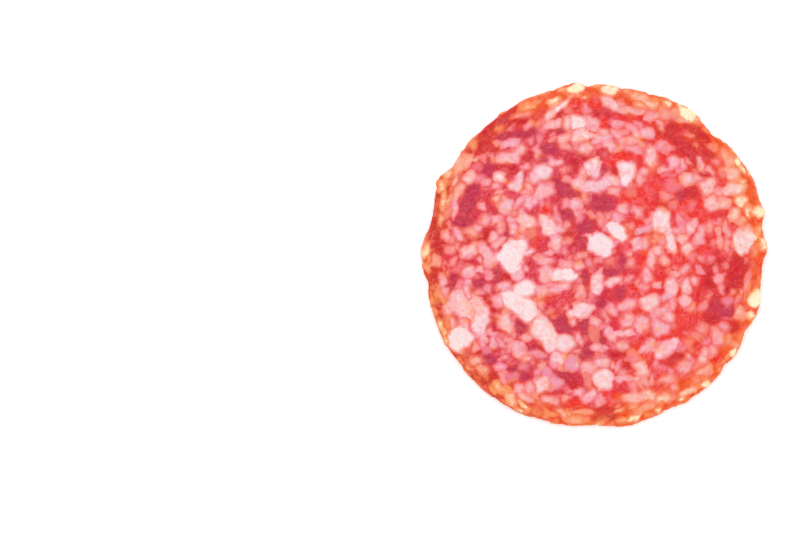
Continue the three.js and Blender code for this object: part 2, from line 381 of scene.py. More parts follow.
    (9.8, -35.9, 5.2, 2.2, 6, 0.55, 0.7),
    (13.8, -35.1, 3.4, 2.8, 0, 0.6, 0.8),
    (14.5, -31.8, 1.6, 2.6, 0, 0.5, 0.3),
    (1.6, -36.4, 2.6, 2.8, 0, 0.4, 0.0),
    (-12.5, -40.7, 2.2, 1.0, -8, 0.5, 0.9),
    # lower right
    (16.8, -18.3, 4.0, 3.9, -20, 0.5, -0.4),
    (18.8, -15.7, 3.2, 2.6, 20, 0.55, 0.2),
    (18.1, -23.6, 6.4, 3.3, 36, 0.6, 0.0),
    (24.0, -22.3, 2.6, 3.2, 0, 0.15, 0.7),
    (27.2, -18.6, 2.8, 2.6, -10, 0.28, 0.1),
    (31.0, -20.4, 3.0, 4.2, 0, 0.45, 0.2),
    (32.6, -18.2, 2.6, 2.0, 0, 0.42, -0.4),
    (27.5, -25.4, 2.3, 3.6, -8, 0.56, 0.4),
    (29.6, -24.3, 2.5, 2.4, 0, 0.5, 0.2),
    (22.8, -28.0, 3.6, 2.8, 20, 0.45, 0.1),
    (28.0, -29.2, 4.0, 2.2, 20, 0.45, 0.6),
    (28.2, -32.4, 2.8, 2.1, 10, 0.78, 1.0),
    (31.8, -28.7, 1.8, 1.3, 30, 0.6, 0.9),
    (34.9, -24.7, 2.1, 2.9, -20, 0.8, 0.95),
    (35.6, -22.4, 2.2, 2.3, 0, 0.55, 0.7),
    (33.9, -21.3, 1.8, 2.4, 0, 0.4, 0.7),
    (39.3, -15.2, 2.0, 2.2, 0, 0.82, 1.0),
    (17.3, -28.0, 2.2, 1.6, 0, 0.45, 0.0),
    (18.6, -31.2, 4.0, 2.6, 15, 0.45, 0.4),
    (15.6, -27.0, 1.6, 2.2, 20, 0.4, -0.2),
    (20.0, -33.3, 2.2, 2.0, 0, 0.5, 0.4),
    (24.0, -34.0, 4.4, 2.0, 22, 0.6, 0.8),
    (17.4, -35.8, 4.0, 2.6, 15, 0.6, 0.8),
    (22.0, -36.1, 2.2, 1.2, 12, 0.65, 1.0),
    (16.2, -38.8, 2.0, 1.5, 15, 0.7, 1.0),
    (25.4, -31.6, 2.4, 1.6, 30, 0.42, 0.6),
)

# The patches of lean that stand out: x, y, length and width in millimetres, turn in degrees, and tone.
# A plain patch is the colour of most of the lean.
LEAN_PATCHES = (
    (1.8, 13.0, 6.6, 4.0, -8, "maroon"),
    (-6.6, 10.2, 3.6, 3.0, -20, "maroon"),
    (-2.2, 7.2, 4.4, 3.4, 15, "maroon"),
    (-2.6, 3.2, 2.6, 4.0, 10, "maroon"),
    (4.0, -4.6, 5.6, 2.2, 8, "maroon"),
    (7.2, -1.6, 2.2, 3.4, 0, "maroon"),
    (1.8, -12.0, 3.6, 3.0, -20, "maroon"),
    (-2.4, -5.6, 2.2, 3.6, 10, "maroon"),
    (6.5, -9.6, 2.2, 3.4, 0, "maroon"),
    (-8.4, -11.4, 7.8, 4.4, 25, "plain"),
    (-6.0, 15.2, 6.4, 2.6, -12, "maroon"),
    (-8.0, 17.4, 5.6, 2.8, -20, "maroon"),
    (-12.0, 11.2, 2.6, 2.2, 0, "scarlet"),
    (-14.2, 4.2, 1.2, 6.0, -15, "scarlet"),
    (-11.3, 26.6, 5.4, 3.2, 10, "maroon"),
    (-8.4, 31.0, 3.6, 1.6, 5, "maroon"),
    (-15.6, 30.4, 5.0, 2.4, 0, "maroon"),
    (-4.6, 22.0, 1.4, 4.2, 12, "crimson"),
    (-2.4, 24.6, 4.2, 1.6, -12, "crimson"),
    (2.4, 21.4, 1.2, 4.2, -10, "maroon"),
    (-13.0, 23.6, 4.4, 1.4, 20, "maroon"),
    (-20.8, 30.2, 7.6, 2.0, 8, "maroon"),
    (-24.6, 26.4, 4.4, 1.4, 8, "crimson"),
    (-23.0, 22.4, 5.6, 1.2, 6, "crimson"),
    # The next four dark red streaks by the upper left rim are painted shadow where the slice folds, laid
    # over deep red lean.
    (-19.0, 33.2, 5.6, 2.2, 20, "crimson"),
    (-26.4, 33.0, 7.4, 2.8, 44, "crimson"),
    (-20.8, 36.2, 6.4, 2.4, 34, "crimson"),
    (-22.6, 33.8, 5.0, 1.8, 36, "maroon"),
    (-28.0, 29.6, 3.8, 5.6, -10, "crimson"),
    (-16.6, 25.2, 2.4, 3.2, 0, "crimson"),
    (-20.2, 21.2, 2.6, 2.0, 20, "crimson"),
    (-26.6, 21.6, 3.0, 3.6, 20, "maroon"),
    (-30.4, 16.2, 3.8, 3.6, 20, "maroon"),
    (-31.7, 12.8, 5.6, 3.6, 75, "maroon"),
    (-33.0, 8.4, 5.2, 2.8, 5, "maroon"),
    (-27.6, 5.0, 3.6, 3.4, 10, "crimson"),
    (-24.3, -4.6, 4.0, 5.6, 6, "maroon"),
    (-22.0, -5.6, 2.4, 2.2, 0, "crimson"),
    (-35.6, -7.0, 2.6, 5.4, -15, "maroon"),
    (-28.6, -7.4, 4.2, 2.6, 0, "maroon"),
    (-21.6, 6.2, 1.4, 3.2, 5, "maroon"),
    (-38.7, 2.5, 2.2, 5.0, 0, "crimson"),
    (-26.8, -11.6, 3.0, 3.2, 20, "crimson"),
    (-24.0, -14.2, 5.0, 1.6, -30, "crimson"),
    # The next three rust patches on the left rim are partly dried lean and partly painted shade along that
    # edge.
    (-39.9, 10.0, 2.6, 9.5, 0, "rust"),
    (-40.1, -6.2, 1.8, 6.0, 4, "rust"),
    (-38.7, -14.0, 1.6, 7.0, 12, "rust"),
    (-5.6, 4.6, 2.2, 3.2, 20, "crimson"),
    (-7.4, -17.6, 5.6, 3.8, -10, "maroon"),
    (-2.2, -18.2, 2.8, 5.0, 10, "maroon"),
    (-2.6, -24.2, 4.2, 4.2, 10, "maroon"),
    (-7.2, -30.4, 5.8, 2.6, -18, "maroon"),
    (-4.6, -32.8, 3.0, 2.6, 0, "crimson"),
    (1.9, -20.8, 1.8, 4.4, 10, "maroon"),
    (8.3, -27.8, 2.2, 3.0, 0, "crimson"),
    (4.2, -35.4, 4.2, 3.4, 0, "scarlet"),
    (2.8, -38.9, 6.0, 1.8, 0, "crimson"),
    (3.0, -40.9, 5.4, 2.0, 3, "rust"),
    (-13.6, -23.6, 4.6, 1.2, -36, "crimson"),
    (-18.2, -18.2, 4.4, 3.4, -20, "maroon"),
    (-15.9, -23.4, 3.0, 1.5, 0, "maroon"),
    (-20.4, -28.6, 3.6, 2.2, 4, "maroon"),
    (-17.4, -30.4, 3.8, 1.8, -20, "maroon"),
    (-26.4, -26.0, 4.4, 3.2, -10, "maroon"),
    (-24.4, -30.6, 2.6, 1.6, 0, "crimson"),
    # Rust along the lower left rim: partly dried lean, partly painted shade along that edge.
    (-36.3, -24.6, 6.4, 1.6, -52, "rust"),
    (22.6, 12.0, 5.4, 4.6, -20, "scarlet"),
    (21.8, 15.2, 2.4, 3.8, -10, "maroon"),
    (26.5, 12.4, 1.6, 5.6, -10, "scarlet"),
    (24.6, 15.8, 2.8, 3.4, 0, "crimson"),
    (19.6, 32.0, 4.6, 3.8, -10, "crimson"),
    (25.2, 31.4, 6.4, 2.8, -25, "crimson"),
    (27.4, 29.0, 4.8, 3.6, 0, "crimson"),
    (28.8, 25.2, 4.2, 3.0, -30, "crimson"),
    (31.0, 28.8, 5.6, 1.6, -42, "amber"),
    (22.0, 27.6, 4.6, 3.4, -40, "crimson"),
    (24.8, 25.2, 2.2, 6.4, 15, "crimson"),
    (27.4, 20.3, 6.0, 1.5, -24, "crimson"),
    (31.2, 19.0, 3.2, 1.6, -40, "scarlet"),
    (18.2, 30.0, 4.6, 1.4, -30, "crimson"),
    (32.0, 23.2, 1.4, 3.6, 10, "scarlet"),
    (35.8, -3.2, 5.6, 6.0, 0, "crimson"),
    (31.4, -2.0, 3.6, 2.6, 0, "crimson"),
    (29.2, -7.4, 3.6, 2.8, 0, "crimson"),
    (33.6, -8.4, 2.8, 3.0, 0, "crimson"),
    (30.8, -10.8, 2.6, 2.6, 0, "crimson"),
    (35.6, -7.4, 3.6, 4.2, 0, "crimson"),
    (30.6, -14.2, 5.8, 4.6, 30, "maroon"),
    (34.0, -14.0, 3.8, 4.0, 0, "maroon"),
    (29.0, -4.6, 3.2, 3.6, 0, "crimson"),
    (29.6, -16.2, 4.6, 3.0, 0, "crimson"),
    (35.2, -18.0, 3.2, 3.0, 0, "crimson"),
    (40.4, -4.6, 2.2, 7.6, 0, "amber"),
    (10.8, 13.8, 7.6, 2.4, -5, "scarlet"),
    (7.2, 15.6, 3.0, 2.0, 0, "scarlet"),
    (16.2, 17.2, 4.4, 4.0, 0, "scarlet"),
    (12.4, -2.4, 3.2, 3.2, 0, "scarlet"),
    (12.4, 0.8, 1.4, 1.3, 0, "amber"),
    (11.8, 7.9, 2.8, 1.6, 0, "scarlet"),
    (10.0, -8.4, 3.6, 2.2, 0, "scarlet"),
    (21.0, -1.6, 5.2, 3.0, 0, "scarlet"),
    (26.8, 9.6, 2.0, 4.2, 0, "scarlet"),
    (28.2, 0.8, 2.8, 3.4, 0, "scarlet"),
    (8.6, 24.8, 7.6, 2.2, -4, "scarlet"),
    (4.4, 23.4, 3.4, 2.4, 0, "scarlet"),
    (5.0, 20.9, 2.0, 2.6, 0, "crimson"),
    (8.4, 34.4, 6.4, 1.2, -6, "scarlet"),
    (7.4, 39.4, 4.8, 1.9, -28, "amber"),
    (-8.6, 35.3, 4.6, 1.2, 36, "crimson"),
    (-4.6, 38.4, 5.0, 2.0, 6, "scarlet"),
    (-4.4, 35.7, 4.6, 1.4, 0, "scarlet"),
    (0.2, 38.0, 3.4, 2.2, -10, "scarlet"),
    (-0.9, 40.6, 3.2, 2.4, 10, "amber"),
    (2.6, 33.0, 1.8, 3.2, 0, "scarlet"),
    (12.6, 16.2, 5.0, 2.4, 0, "scarlet"),
    (-12.0, 39.4, 7.0, 1.6, 16, "amber"),
    (19.2, -26.8, 5.4, 2.4, 25, "crimson"),
    (21.4, -25.2, 3.2, 2.8, 0, "crimson"),
    (16.4, -30.0, 3.4, 1.4, 0, "scarlet"),
    (31.0, -26.0, 3.2, 2.4, 30, "scarlet"),
    (23.2, -31.6, 3.2, 1.8, 20, "amber"),
    (-5.0, -37.4, 6.4, 2.0, 0, "scarlet"),
    (6.2, -36.4, 2.8, 2.4, 0, "amber"),
    (-12.4, -37.9, 5.0, 1.6, -10, "amber"),
    (13.8, -25.8, 3.2, 2.8, 0, "scarlet"),
    (5.6, -24.8, 4.4, 1.6, 0, "crimson"),
    (18.0, -20.8, 5.6, 1.4, 18, "scarlet"),
)

# The tones of lean that have a colour of their own.
TONES = ("maroon", "crimson", "scarlet", "amber", "rust")


def chosen_colour(name, description, default):
    """A colour that a user may change."""
    return FloatVectorProperty(
        name=name, description=description, default=default, subtype="COLOR", size=3, min=0.0, max=1.0
    )


def chosen_length(name, description, default, low, high):
    """A length that a user may change, given in millimetres."""
    return FloatProperty(
        name=name, description=description, default=default * MM, min=low * MM, max=high * MM,
        unit="LENGTH",
    )


class SliceSettings(bpy.types.PropertyGroup):
    """Sizes and colours of the slice."""

    seed: IntProperty(
        name="Seed", description="Which chance arrangement the small grains take", default=7, min=0
    )
    small_grain: chosen_length(
        "Small Grain", "Usual width of the small grains between the larger pieces", 2.2, 1.0, 4.0
    )
    raggedness: chosen_length("Raggedness", "How far the outline of each grain wanders", 0.42, 0.0, 1.0)
    relief: chosen_length("Relief", "How far fat stands above the lean on a cut face", 0.07, 0.0, 0.3)
    rim_relief: chosen_length("Rim Relief", "How far fat stands out of the peeled rim", 0.35, 0.0, 1.0)
    lean: chosen_colour("Lean", "Colour of most of the lean", (0.722, 0.013, 0.048))
    maroon: chosen_colour("Maroon Lean", "Colour of the darkest lean", (0.496, 0.018, 0.080))
    crimson: chosen_colour("Crimson Lean", "Colour of the deep red lean", (0.581, 0.003, 0.016))
    scarlet: chosen_colour("Scarlet Lean", "Colour of the brightest lean", (0.834, 0.016, 0.013))
    amber: chosen_colour(
        "Amber Lean", "Colour of the lean that has dried near the rim", (0.834, 0.085, 0.003)
    )
    # The rust tone is partly the driest lean of the rim and partly painted shade along its left edge.
    rust: chosen_colour(
        "Rust Lean", "Colour of the driest lean, where the casing was", (0.581, 0.018, 0.003)
    )
    fat: chosen_colour("Pink Fat", "Colour of thin fat that the lean shows through", (0.850, 0.215, 0.261))
    white_fat: chosen_colour("White Fat", "Colour of the whitest fat", (0.873, 0.744, 0.758))
    lilac_fat: chosen_colour("Lilac Fat", "Colour of fat with a lilac cast", (0.758, 0.286, 0.451))
    peach_fat: chosen_colour("Peach Fat", "Colour of fat with a peach cast", (0.873, 0.330, 0.125))
    cream_fat: chosen_colour(
        "Cream Fat", "Colour of fat that has dried near the rim", (0.900, 0.860, 0.600)
    )


class StageSettings(bpy.types.PropertyGroup):
    """The floor and the light."""

    floor: chosen_colour("Floor", "Colour of the floor", (0.92, 0.92, 0.92))
    floor_glow: FloatProperty(
        name="Floor Glow", description="How much light of its own the floor gives off", default=0.2,
        min=0.0, max=1.0,
    )
    daylight: FloatProperty(
        name="Surrounding Light", description="Strength of the even light from all sides",
        default=0.95, min=0.0, max=3.0,
    )
    key: FloatProperty(
        name="Key Light", description="Power of the large soft lamp", default=1.8, min=0.0, unit="POWER"
    )


def turned(x, y, turn):
    """Places along and across a direction, which is turned this many radians from +X."""
    cos, sin = np.cos(turn), np.sin(turn)
    return x * cos + y * sin, y * cos - x * sin


def scatter(number, other=0):
    """A chance number from 0 to 1 that is always the same for the same whole numbers."""
    return (np.sin(number * 12.9898 + other * 78.233) * 43758.5453) % 1.0


class GrainTable:
    """The ground pieces of fat and lean that pack the slice, in millimetres."""

    # How far each grain bulges three, four and five times round.
    BULGES = ((3, 0.1), (4, 0.08), (5, 0.06))

    def __init__(self):
        self.middle = []
        self.half = []
        self.turn = []
        self.fat = []
        self.white = []
        self.cast = []

    def add(self, middle, half, turn, fat, white=0.5, cast=0.0):
        """One more grain: its middle, its three half widths, its turn in radians, and its looks."""
        self.middle.append(middle)
        self.half.append(half)
        self.turn.append(turn)
        self.fat.append(fat)
        self.white.append(white)
        self.cast.append(cast)

    def close(self, rng):
        """Turns the lists into arrays once every grain is in, and gives each its corners."""
        for name in ("middle", "half", "turn", "fat", "white", "cast"):
            setattr(self, name, np.array(getattr(self, name)))
        most = np.array([[height] for _, height in self.BULGES])
        self.lobes = rng.uniform(-1.0, 1.0, (len(self.turn), len(most), 2)) * most
        # White grains are the roundest.
        self.lobes *= (1.25 - 0.8 * self.white)[:, None, None]

    def has_room(self, middle, size, clear):
        """Whether a grain of this size can go here, with at least the share clear of its size outside
        each of its neighbours."""
        d = np.asarray(middle) - np.array(self.middle)
        half = np.array(self.half)
        along, across = turned(d[:, 0], d[:, 1], np.array(self.turn))
        # How many times its own size each grain is away from the point.
        away = np.sqrt(
            (along / half[:, 0]) ** 2 + (across / half[:, 1]) ** 2 + (d[:, 2] / half[:, 2]) ** 2
        )
        return not np.any(away < 1.0 + clear * size / np.sqrt(half[:, 0] * half[:, 1]))

    def measure(self, i, points):
        """For grain i: each point's place in the grain's own size, where 1 is its surface, and the
        distance from its middle to its surface in that direction."""
        d = points - self.middle[i]
        along, across = turned(d[:, 0], d[:, 1], self.turn[i])
        u, v = along / self.half[i, 0], across / self.half[i, 1]
        w = d[:, 2] / self.half[i, 2]
        around = np.arctan2(v, u)
        bulge = np.ones(len(u))
        for (times, _), (a, b) in zip(self.BULGES, self.lobes[i]):
            bulge += a * np.cos(times * around) + b * np.sin(times * around)
        q = np.maximum(np.sqrt(u * u + v * v + w * w) / bulge, 1e-3)
        return q, np.clip(np.linalg.norm(d, axis=1) / q, self.half[i].min(), self.half[i].max())


class Outline:
    """The shape of the CAD slice, in millimetres: how far out its rim is and how high it lifts."""

    FLAT_SHARE = 0.78  # the share of the radius, from the middle, that lies flat
    COLUMN_GAP = 0.005  # rim points further apart than this, in radians, stand in different columns

    def __init__(self):
        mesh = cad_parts[NODE].data
        points = np.empty(len(mesh.vertices) * 3)
        mesh.vertices.foreach_get("co", points)
        points = points.reshape(-1, 3) / MM
        angle = np.arctan2(points[:, 1], points[:, 0])
        radius = np.hypot(points[:, 0], points[:, 1])
        middle = radius < 0.5 * radius.max()
        self.thickness = points[middle, 2].max() - points[middle, 2].min()
        rim = np.flatnonzero(radius > 0.9 * radius.max())
        rim = rim[np.argsort(angle[rim])]
        columns = np.split(rim, np.flatnonzero(np.diff(angle[rim]) > self.COLUMN_GAP) + 1)
        self.angles = np.array([angle[c].mean() for c in columns])
        self.radii = np.array([radius[c].max() for c in columns])
        self.lifts = smooth_round(np.array([points[c, 2].min() for c in columns]), 5)

    def radius(self, angle):
        """How far out the rim is in this direction."""
        return np.interp(angle, self.angles, self.radii, period=TAU)

    def lift(self, angle, share):
        """How high the underside lifts, at this share of the way out to the rim."""
        outwards = np.clip((share - self.FLAT_SHARE) / (1.0 - self.FLAT_SHARE), 0.0, None)
        return np.interp(angle, self.angles, self.lifts, period=TAU) * outwards**2


def smooth_round(values, times):
    """Evens out a ring of values."""
    for _ in range(times):
        values = (np.roll(values, 1) + 2.0 * values + np.roll(values, -1)) / 4.0
    return values


def ease(low, high, value):
    """0 below low, 1 above high, and a smooth rise between."""
    t = np.clip((value - low) / (high - low), 0.0, 1.0)
    return t * t * (3.0 - 2.0 * t)


# Blender's vector noise starts from the clock until it is given a seed, and 0 means the clock too.
NOISE_SEED = 7


def wander(points, wavelength, seed):
    """A smooth random vector at each point, of about unit size, and the same in every run."""
    noise.seed_set(NOISE_SEED)
    shift = Vector((seed * 17.3, seed * 5.1, seed * 9.7))
    return np.array([noise.noise_vector(Vector(p) / wavelength + shift) for p in points])


def disc_grid(count):
    """An even grid of points over the unit disc, as angle and share of the radius, row by row."""
    steps = np.linspace(-1.0, 1.0, count + 1)
    a, b = np.meshgrid(steps, steps)
    wide = np.abs(a) > np.abs(b)
    share = np.where(wide, np.abs(a), np.abs(b))
    with np.errstate(divide="ignore", invalid="ignore"):
        slant = np.where(wide, b / a, a / b)
    slant = np.nan_to_num(slant) * math.pi / 4.0
    angle = np.where(wide, slant + np.where(a < 0.0, math.pi, 0.0), 0.0)
    angle = np.where(~wide, math.pi / 2.0 - slant + np.where(b < 0.0, math.pi, 0.0), angle)
    return angle.ravel(), share.ravel()


def ring_of(count):
    """The grid's outer points, once round counter-clockwise."""
    side = count + 1
    bottom = list(range(count))
    right = [count + side * j for j in range(count)]
    top = [side * count + count - i for i in range(count)]
    left = [side * (count - j) for j in range(count)]
    return bottom + right + top + left


class SliceMesh:
    """The slice's skin as arrays: a grid over each cut face, and a belt of rows round the rim."""

    FACE_STEPS = 210  # steps of the grid across each face
    RIM_ROWS = 5  # rows of points round the rim, between the two faces
    EDGE_ROUNDING = 0.32  # how far the rim tucks in at the faces, in millimetres
    EDGE_WEAR = 0.08  # how far the faces sink at their edge, in millimetres

    def __init__(self, outline):
        self.outline = outline
        n = self.FACE_STEPS
        angle, share = disc_grid(n)
        ring = ring_of(n)
        faces = len(angle)
        rows = self.RIM_ROWS
        turns = np.arange(1, rows + 1) / (rows + 1)
        self.angle = np.concatenate([angle, angle] + [angle[ring]] * rows)
        self.share = np.concatenate([share, share] + [share[ring]] * rows)
        self.height = np.concatenate(
            [np.ones(faces), np.zeros(faces)] + [np.full(len(ring), 1.0 - t) for t in turns]
        )
        number = np.arange(len(self.angle))
        self.on_top = number < faces
        self.on_bottom = (number >= faces) & (number < 2 * faces)
        self.on_rim = ~(self.on_top | self.on_bottom)
        quads = []
        for j in range(n):
            for i in range(n):
                k = j * (n + 1) + i
                quads.append((k, k + 1, k + n + 2, k + n + 1))
        under = [tuple(faces + k for k in reversed(q)) for q in quads]
        belts = [ring] + [
            [2 * faces + r * len(ring) + c for c in range(len(ring))] for r in range(rows)
        ]
        belts.append([faces + k for k in ring])
        belt_quads = []
        for upper, lower in zip(belts[:-1], belts[1:]):
            for c in range(len(ring)):
                d = (c + 1) % len(ring)
                belt_quads.append((upper[d], upper[c], lower[c], lower[d]))
        self.quads = quads + under + belt_quads
        self.rim_faces_from = len(quads) + len(under)

    def place(self):
        """The smooth slice, before its grains raise it."""
        outer = self.outline.radius(self.angle)
        thickness = self.outline.thickness
        rounding = self.EDGE_ROUNDING
        swing = np.abs(2.0 * self.height - 1.0)
        tuck = rounding * (1.0 - np.sqrt(np.clip(1.0 - swing**4, 0.0, 1.0)))
        on_face = self.on_top | self.on_bottom
        reach = np.where(on_face, self.share * (outer - rounding), outer - tuck)
        low = self.outline.lift(self.angle, np.where(on_face, self.share, 1.0))
        wear = self.EDGE_WEAR * ease(0.97, 1.0, self.share)
        z = low + self.height * thickness
        z = z + np.where(self.on_top, -wear, 0.0) + np.where(self.on_bottom, wear, 0.0)
        return np.column_stack((reach * np.cos(self.angle), reach * np.sin(self.angle), z))


def named_grains(thickness):
    """The larger pieces of fat, each with its middle at the upper cut face."""
    table = GrainTable()
    for x, y, length, width, turn, white, cast in FAT_PIECES:
        half = (length / 2.0, width / 2.0)
        deep = float(np.clip(0.9 * math.sqrt(half[0] * half[1]), 0.9, 2.2))
        table.add((x, y, thickness), half + (deep,), math.radians(turn), True, white, cast)
    for x, y, length, width, turn, _tone in LEAN_PATCHES:
        half = (0.45 * length, 0.45 * width)
        table.add((x, y, 0.6 * thickness), half + (1.2,), math.radians(turn), False)
    return table


# How many places are tried for the small grains, and for those that the rim cuts through.
SMALL_TRIES = 9000
RIM_TRIES = 1600
# How far inside the rim the middle of a small grain has to lie, in millimetres.
RIM_CLEARANCE = 0.35


def pack_small_grains(table, outline, settings, rng):
    """Fills the room between the larger pieces with small grains of fat and lean."""
    usual = 0.5 * settings.small_grain / MM
    for attempt in range(SMALL_TRIES):
        angle = rng.uniform(-math.pi, math.pi)
        outer = float(outline.radius(angle))
        reach = outer * math.sqrt(rng.uniform(0.0, 1.0))
        # The largest grains go in first, and the gaps are filled with ever smaller ones.
        size = usual * math.exp(rng.normal(0.0, 0.35)) * (1.5 - 0.95 * attempt / SMALL_TRIES)
        if reach > outer - RIM_CLEARANCE:
            continue
        middle = (
            reach * math.cos(angle),
            reach * math.sin(angle),
            rng.uniform(-0.3, outline.thickness + 0.2),
        )
        if not table.has_room(middle, size, 0.62):
            continue
        near_rim = float(ease(0.78, 0.92, reach / outer))
        slender = 1.15 + 0.5 * near_rim + 1.3 * rng.uniform() ** 2
        turn = rng.uniform(0.0, math.pi)
        if near_rim > 0.3:
            turn = angle + math.pi / 2.0 + rng.normal(0.0, 0.2)
        halves = (size * math.sqrt(slender), size / math.sqrt(slender), size)
        # The right-hand side of the slice is the leaner one.
        fatness = float(ease(28.0, -14.0, middle[0]))
        is_fat = rng.uniform() < 0.48 + 0.14 * fatness + 0.1 * near_rim
        white = float(np.clip(rng.normal(0.32 + 0.16 * fatness, 0.14), 0.1, 0.85))
        dried = float(ease(34.0, 41.0, reach))
        cast = float(np.clip(rng.normal(0.0, 0.24), -0.7, 0.3) + dried)
        table.add(middle, halves, turn, is_fat, white, cast)


def pack_rim_grains(table, outline, settings):
    """Fills the peeled rim itself, which cuts through grains that lie half outside it."""
    rng = np.random.default_rng(settings.seed + 1)
    usual = 0.5 * settings.small_grain / MM
    for _ in range(RIM_TRIES):
        angle = rng.uniform(-math.pi, math.pi)
        reach = float(outline.radius(angle)) + rng.uniform(-0.2, 0.5)
        size = usual * rng.uniform(0.45, 0.95)
        height = rng.uniform(-0.2, outline.thickness + 0.1)
        middle = (reach * math.cos(angle), reach * math.sin(angle), height)
        if not table.has_room(middle, size, 0.5):
            continue
        halves = (size * rng.uniform(1.2, 2.0), size * 0.8, size * 0.8)
        turn = angle + math.pi / 2.0 + rng.normal(0.0, 0.15)
        is_fat = rng.uniform() < 0.6
        white = float(np.clip(rng.normal(0.35, 0.2), 0.05, 0.9))
        cast = float(np.clip(rng.normal(0.85, 0.15), 0.3, 1.0))
        table.add(middle, halves, turn, is_fat, white, cast)


class Marbling:
    """Which grain each point of the skin belongs to, and how deep inside the fat it lies."""

    GROUPS = 6  # fat is sorted into this many groups, to keep grains that touch apart
    SHARPNESS = 7.0  # how sharp the corners are where grains meet
    REACH = 1.32  # how many times its own size a grain can swell into an empty place
    OUTSIDE = -1.6  # the depth that stands for well outside any fat
    FAR = 9.0  # times its own size that a grain is away: further than any grain is looked for
    TINY = 1e-9  # keeps a sum that is divided by, or whose logarithm is taken, above nothing

    def __init__(self, table, points):
        self.table = table
        count = len(points)
        order = np.argsort(points[:, 0])
        sorted_points = points[order]
        xs = sorted_points[:, 0]
        near, sizes, spans = [], [], []
        total = np.full(count, self.TINY)
        weighted = np.full(count, self.TINY)
        fat_total = np.full(count, self.TINY)
        first = np.full(count, self.FAR)
        second = np.full(count, self.FAR)
        owner = np.full(count, -1)
        runner = np.full(count, -1)
        for i in range(len(table.turn)):
            reach = 2.2 * table.half[i].max() + 0.6
            x, y, _ = table.middle[i]
            low, high = np.searchsorted(xs, (x - reach, x + reach))
            at = low + np.flatnonzero(np.abs(sorted_points[low:high, 1] - y) < reach)
            q, span = table.measure(i, sorted_points[at])
            near.append(at)
            sizes.append(q)
            spans.append(span)
            pull = np.exp(-self.SHARPNESS * q)
            total[at] += pull
            weighted[at] += pull / span
            if table.fat[i]:
                fat_total[at] += pull
            beats_first = q < first[at]
            beats_second = ~beats_first & (q < second[at])
            lost = at[beats_first]
            second[lost], runner[lost] = first[lost], owner[lost]
            first[lost], owner[lost] = q[beats_first], i
            gained = at[beats_second]
            second[gained], runner[gained] = q[beats_second], i
        self.group = self.colour_groups(owner, runner)
        pressed = self.pressed_together(owner, runner)
        depth = np.full((count, self.GROUPS), self.OUTSIDE)
        best_fat = np.full(count, self.FAR)
        fat_owner = np.full(count, -1)
        for i in np.flatnonzero(table.fat):
            at, q, span = near[i], sizes[i], spans[i]
            own = np.exp(-self.SHARPNESS * q)
            others = np.maximum(total[at] - own, self.TINY)
            other_q = -np.log(others) / self.SHARPNESS
            other_bend = np.maximum(weighted[at] - own / span, self.TINY) / others
            parted = (other_q - q) / (1.0 / span + np.clip(other_bend, 0.1, 3.0))
            alone = (self.REACH - q) * span
            inside = np.minimum(parted + 0.2, alone)
            g = self.group[i]
            depth[at, g] = np.maximum(depth[at, g], inside)
            closer = q < best_fat[at]
            best_fat[at[closer]] = q[closer]
            fat_owner[at[closer]] = i
        # How deep inside any fat at all, as if there were no seams between grains of fat.
        lean_q = -np.log(np.maximum(total - fat_total, self.TINY)) / self.SHARPNESS
        fat_q = -np.log(fat_total) / self.SHARPNESS
        bend = weighted / total
        joined = np.minimum((lean_q - fat_q) / (2.0 * bend), (self.REACH - fat_q) / bend)
        back = np.empty(count, int)
        back[order] = np.arange(count)
        self.depth = depth[back]
        self.joined = np.clip(joined, self.OUTSIDE, 2.5)[back]
        self.pressed = pressed[back]
        self.owner = owner[back]
        self.fat_owner = fat_owner[back]

    def pressed_together(self, owner, runner):
        """1 where the two nearest grains are fat with no lean left between them, 0 elsewhere. White
        grains are the likeliest to be one lump."""
        fat, white = self.table.fat, self.table.white
        low, high = np.minimum(owner, runner), np.maximum(owner, runner)
        share = 0.2 + 0.35 * (white[low] + white[high])
        return ((low >= 0) & fat[low] & fat[high] & (scatter(low, high) < share)).astype(float)

    def colour_groups(self, owner, runner):
        """Puts grains of fat that touch into different groups, so that the seam between them stays."""
        fat = self.table.fat
        pairs = np.column_stack((owner, runner))
        pairs = pairs[(pairs >= 0).all(axis=1)]
        pairs = np.unique(np.sort(pairs, axis=1), axis=0)
        pairs = pairs[fat[pairs[:, 0]] & fat[pairs[:, 1]]]
        touching = [set() for _ in fat]
        for a, b in pairs:
            touching[a].add(b)
            touching[b].add(a)
        group = np.full(len(fat), -1)
        for i in sorted(range(len(fat)), key=lambda k: -len(touching[k])):
            used = [group[k] for k in touching[i] if group[k] >= 0]
            free = [g for g in range(self.GROUPS) if g not in used]
            group[i] = free[0] if free else min(range(self.GROUPS), key=used.count)
        return group


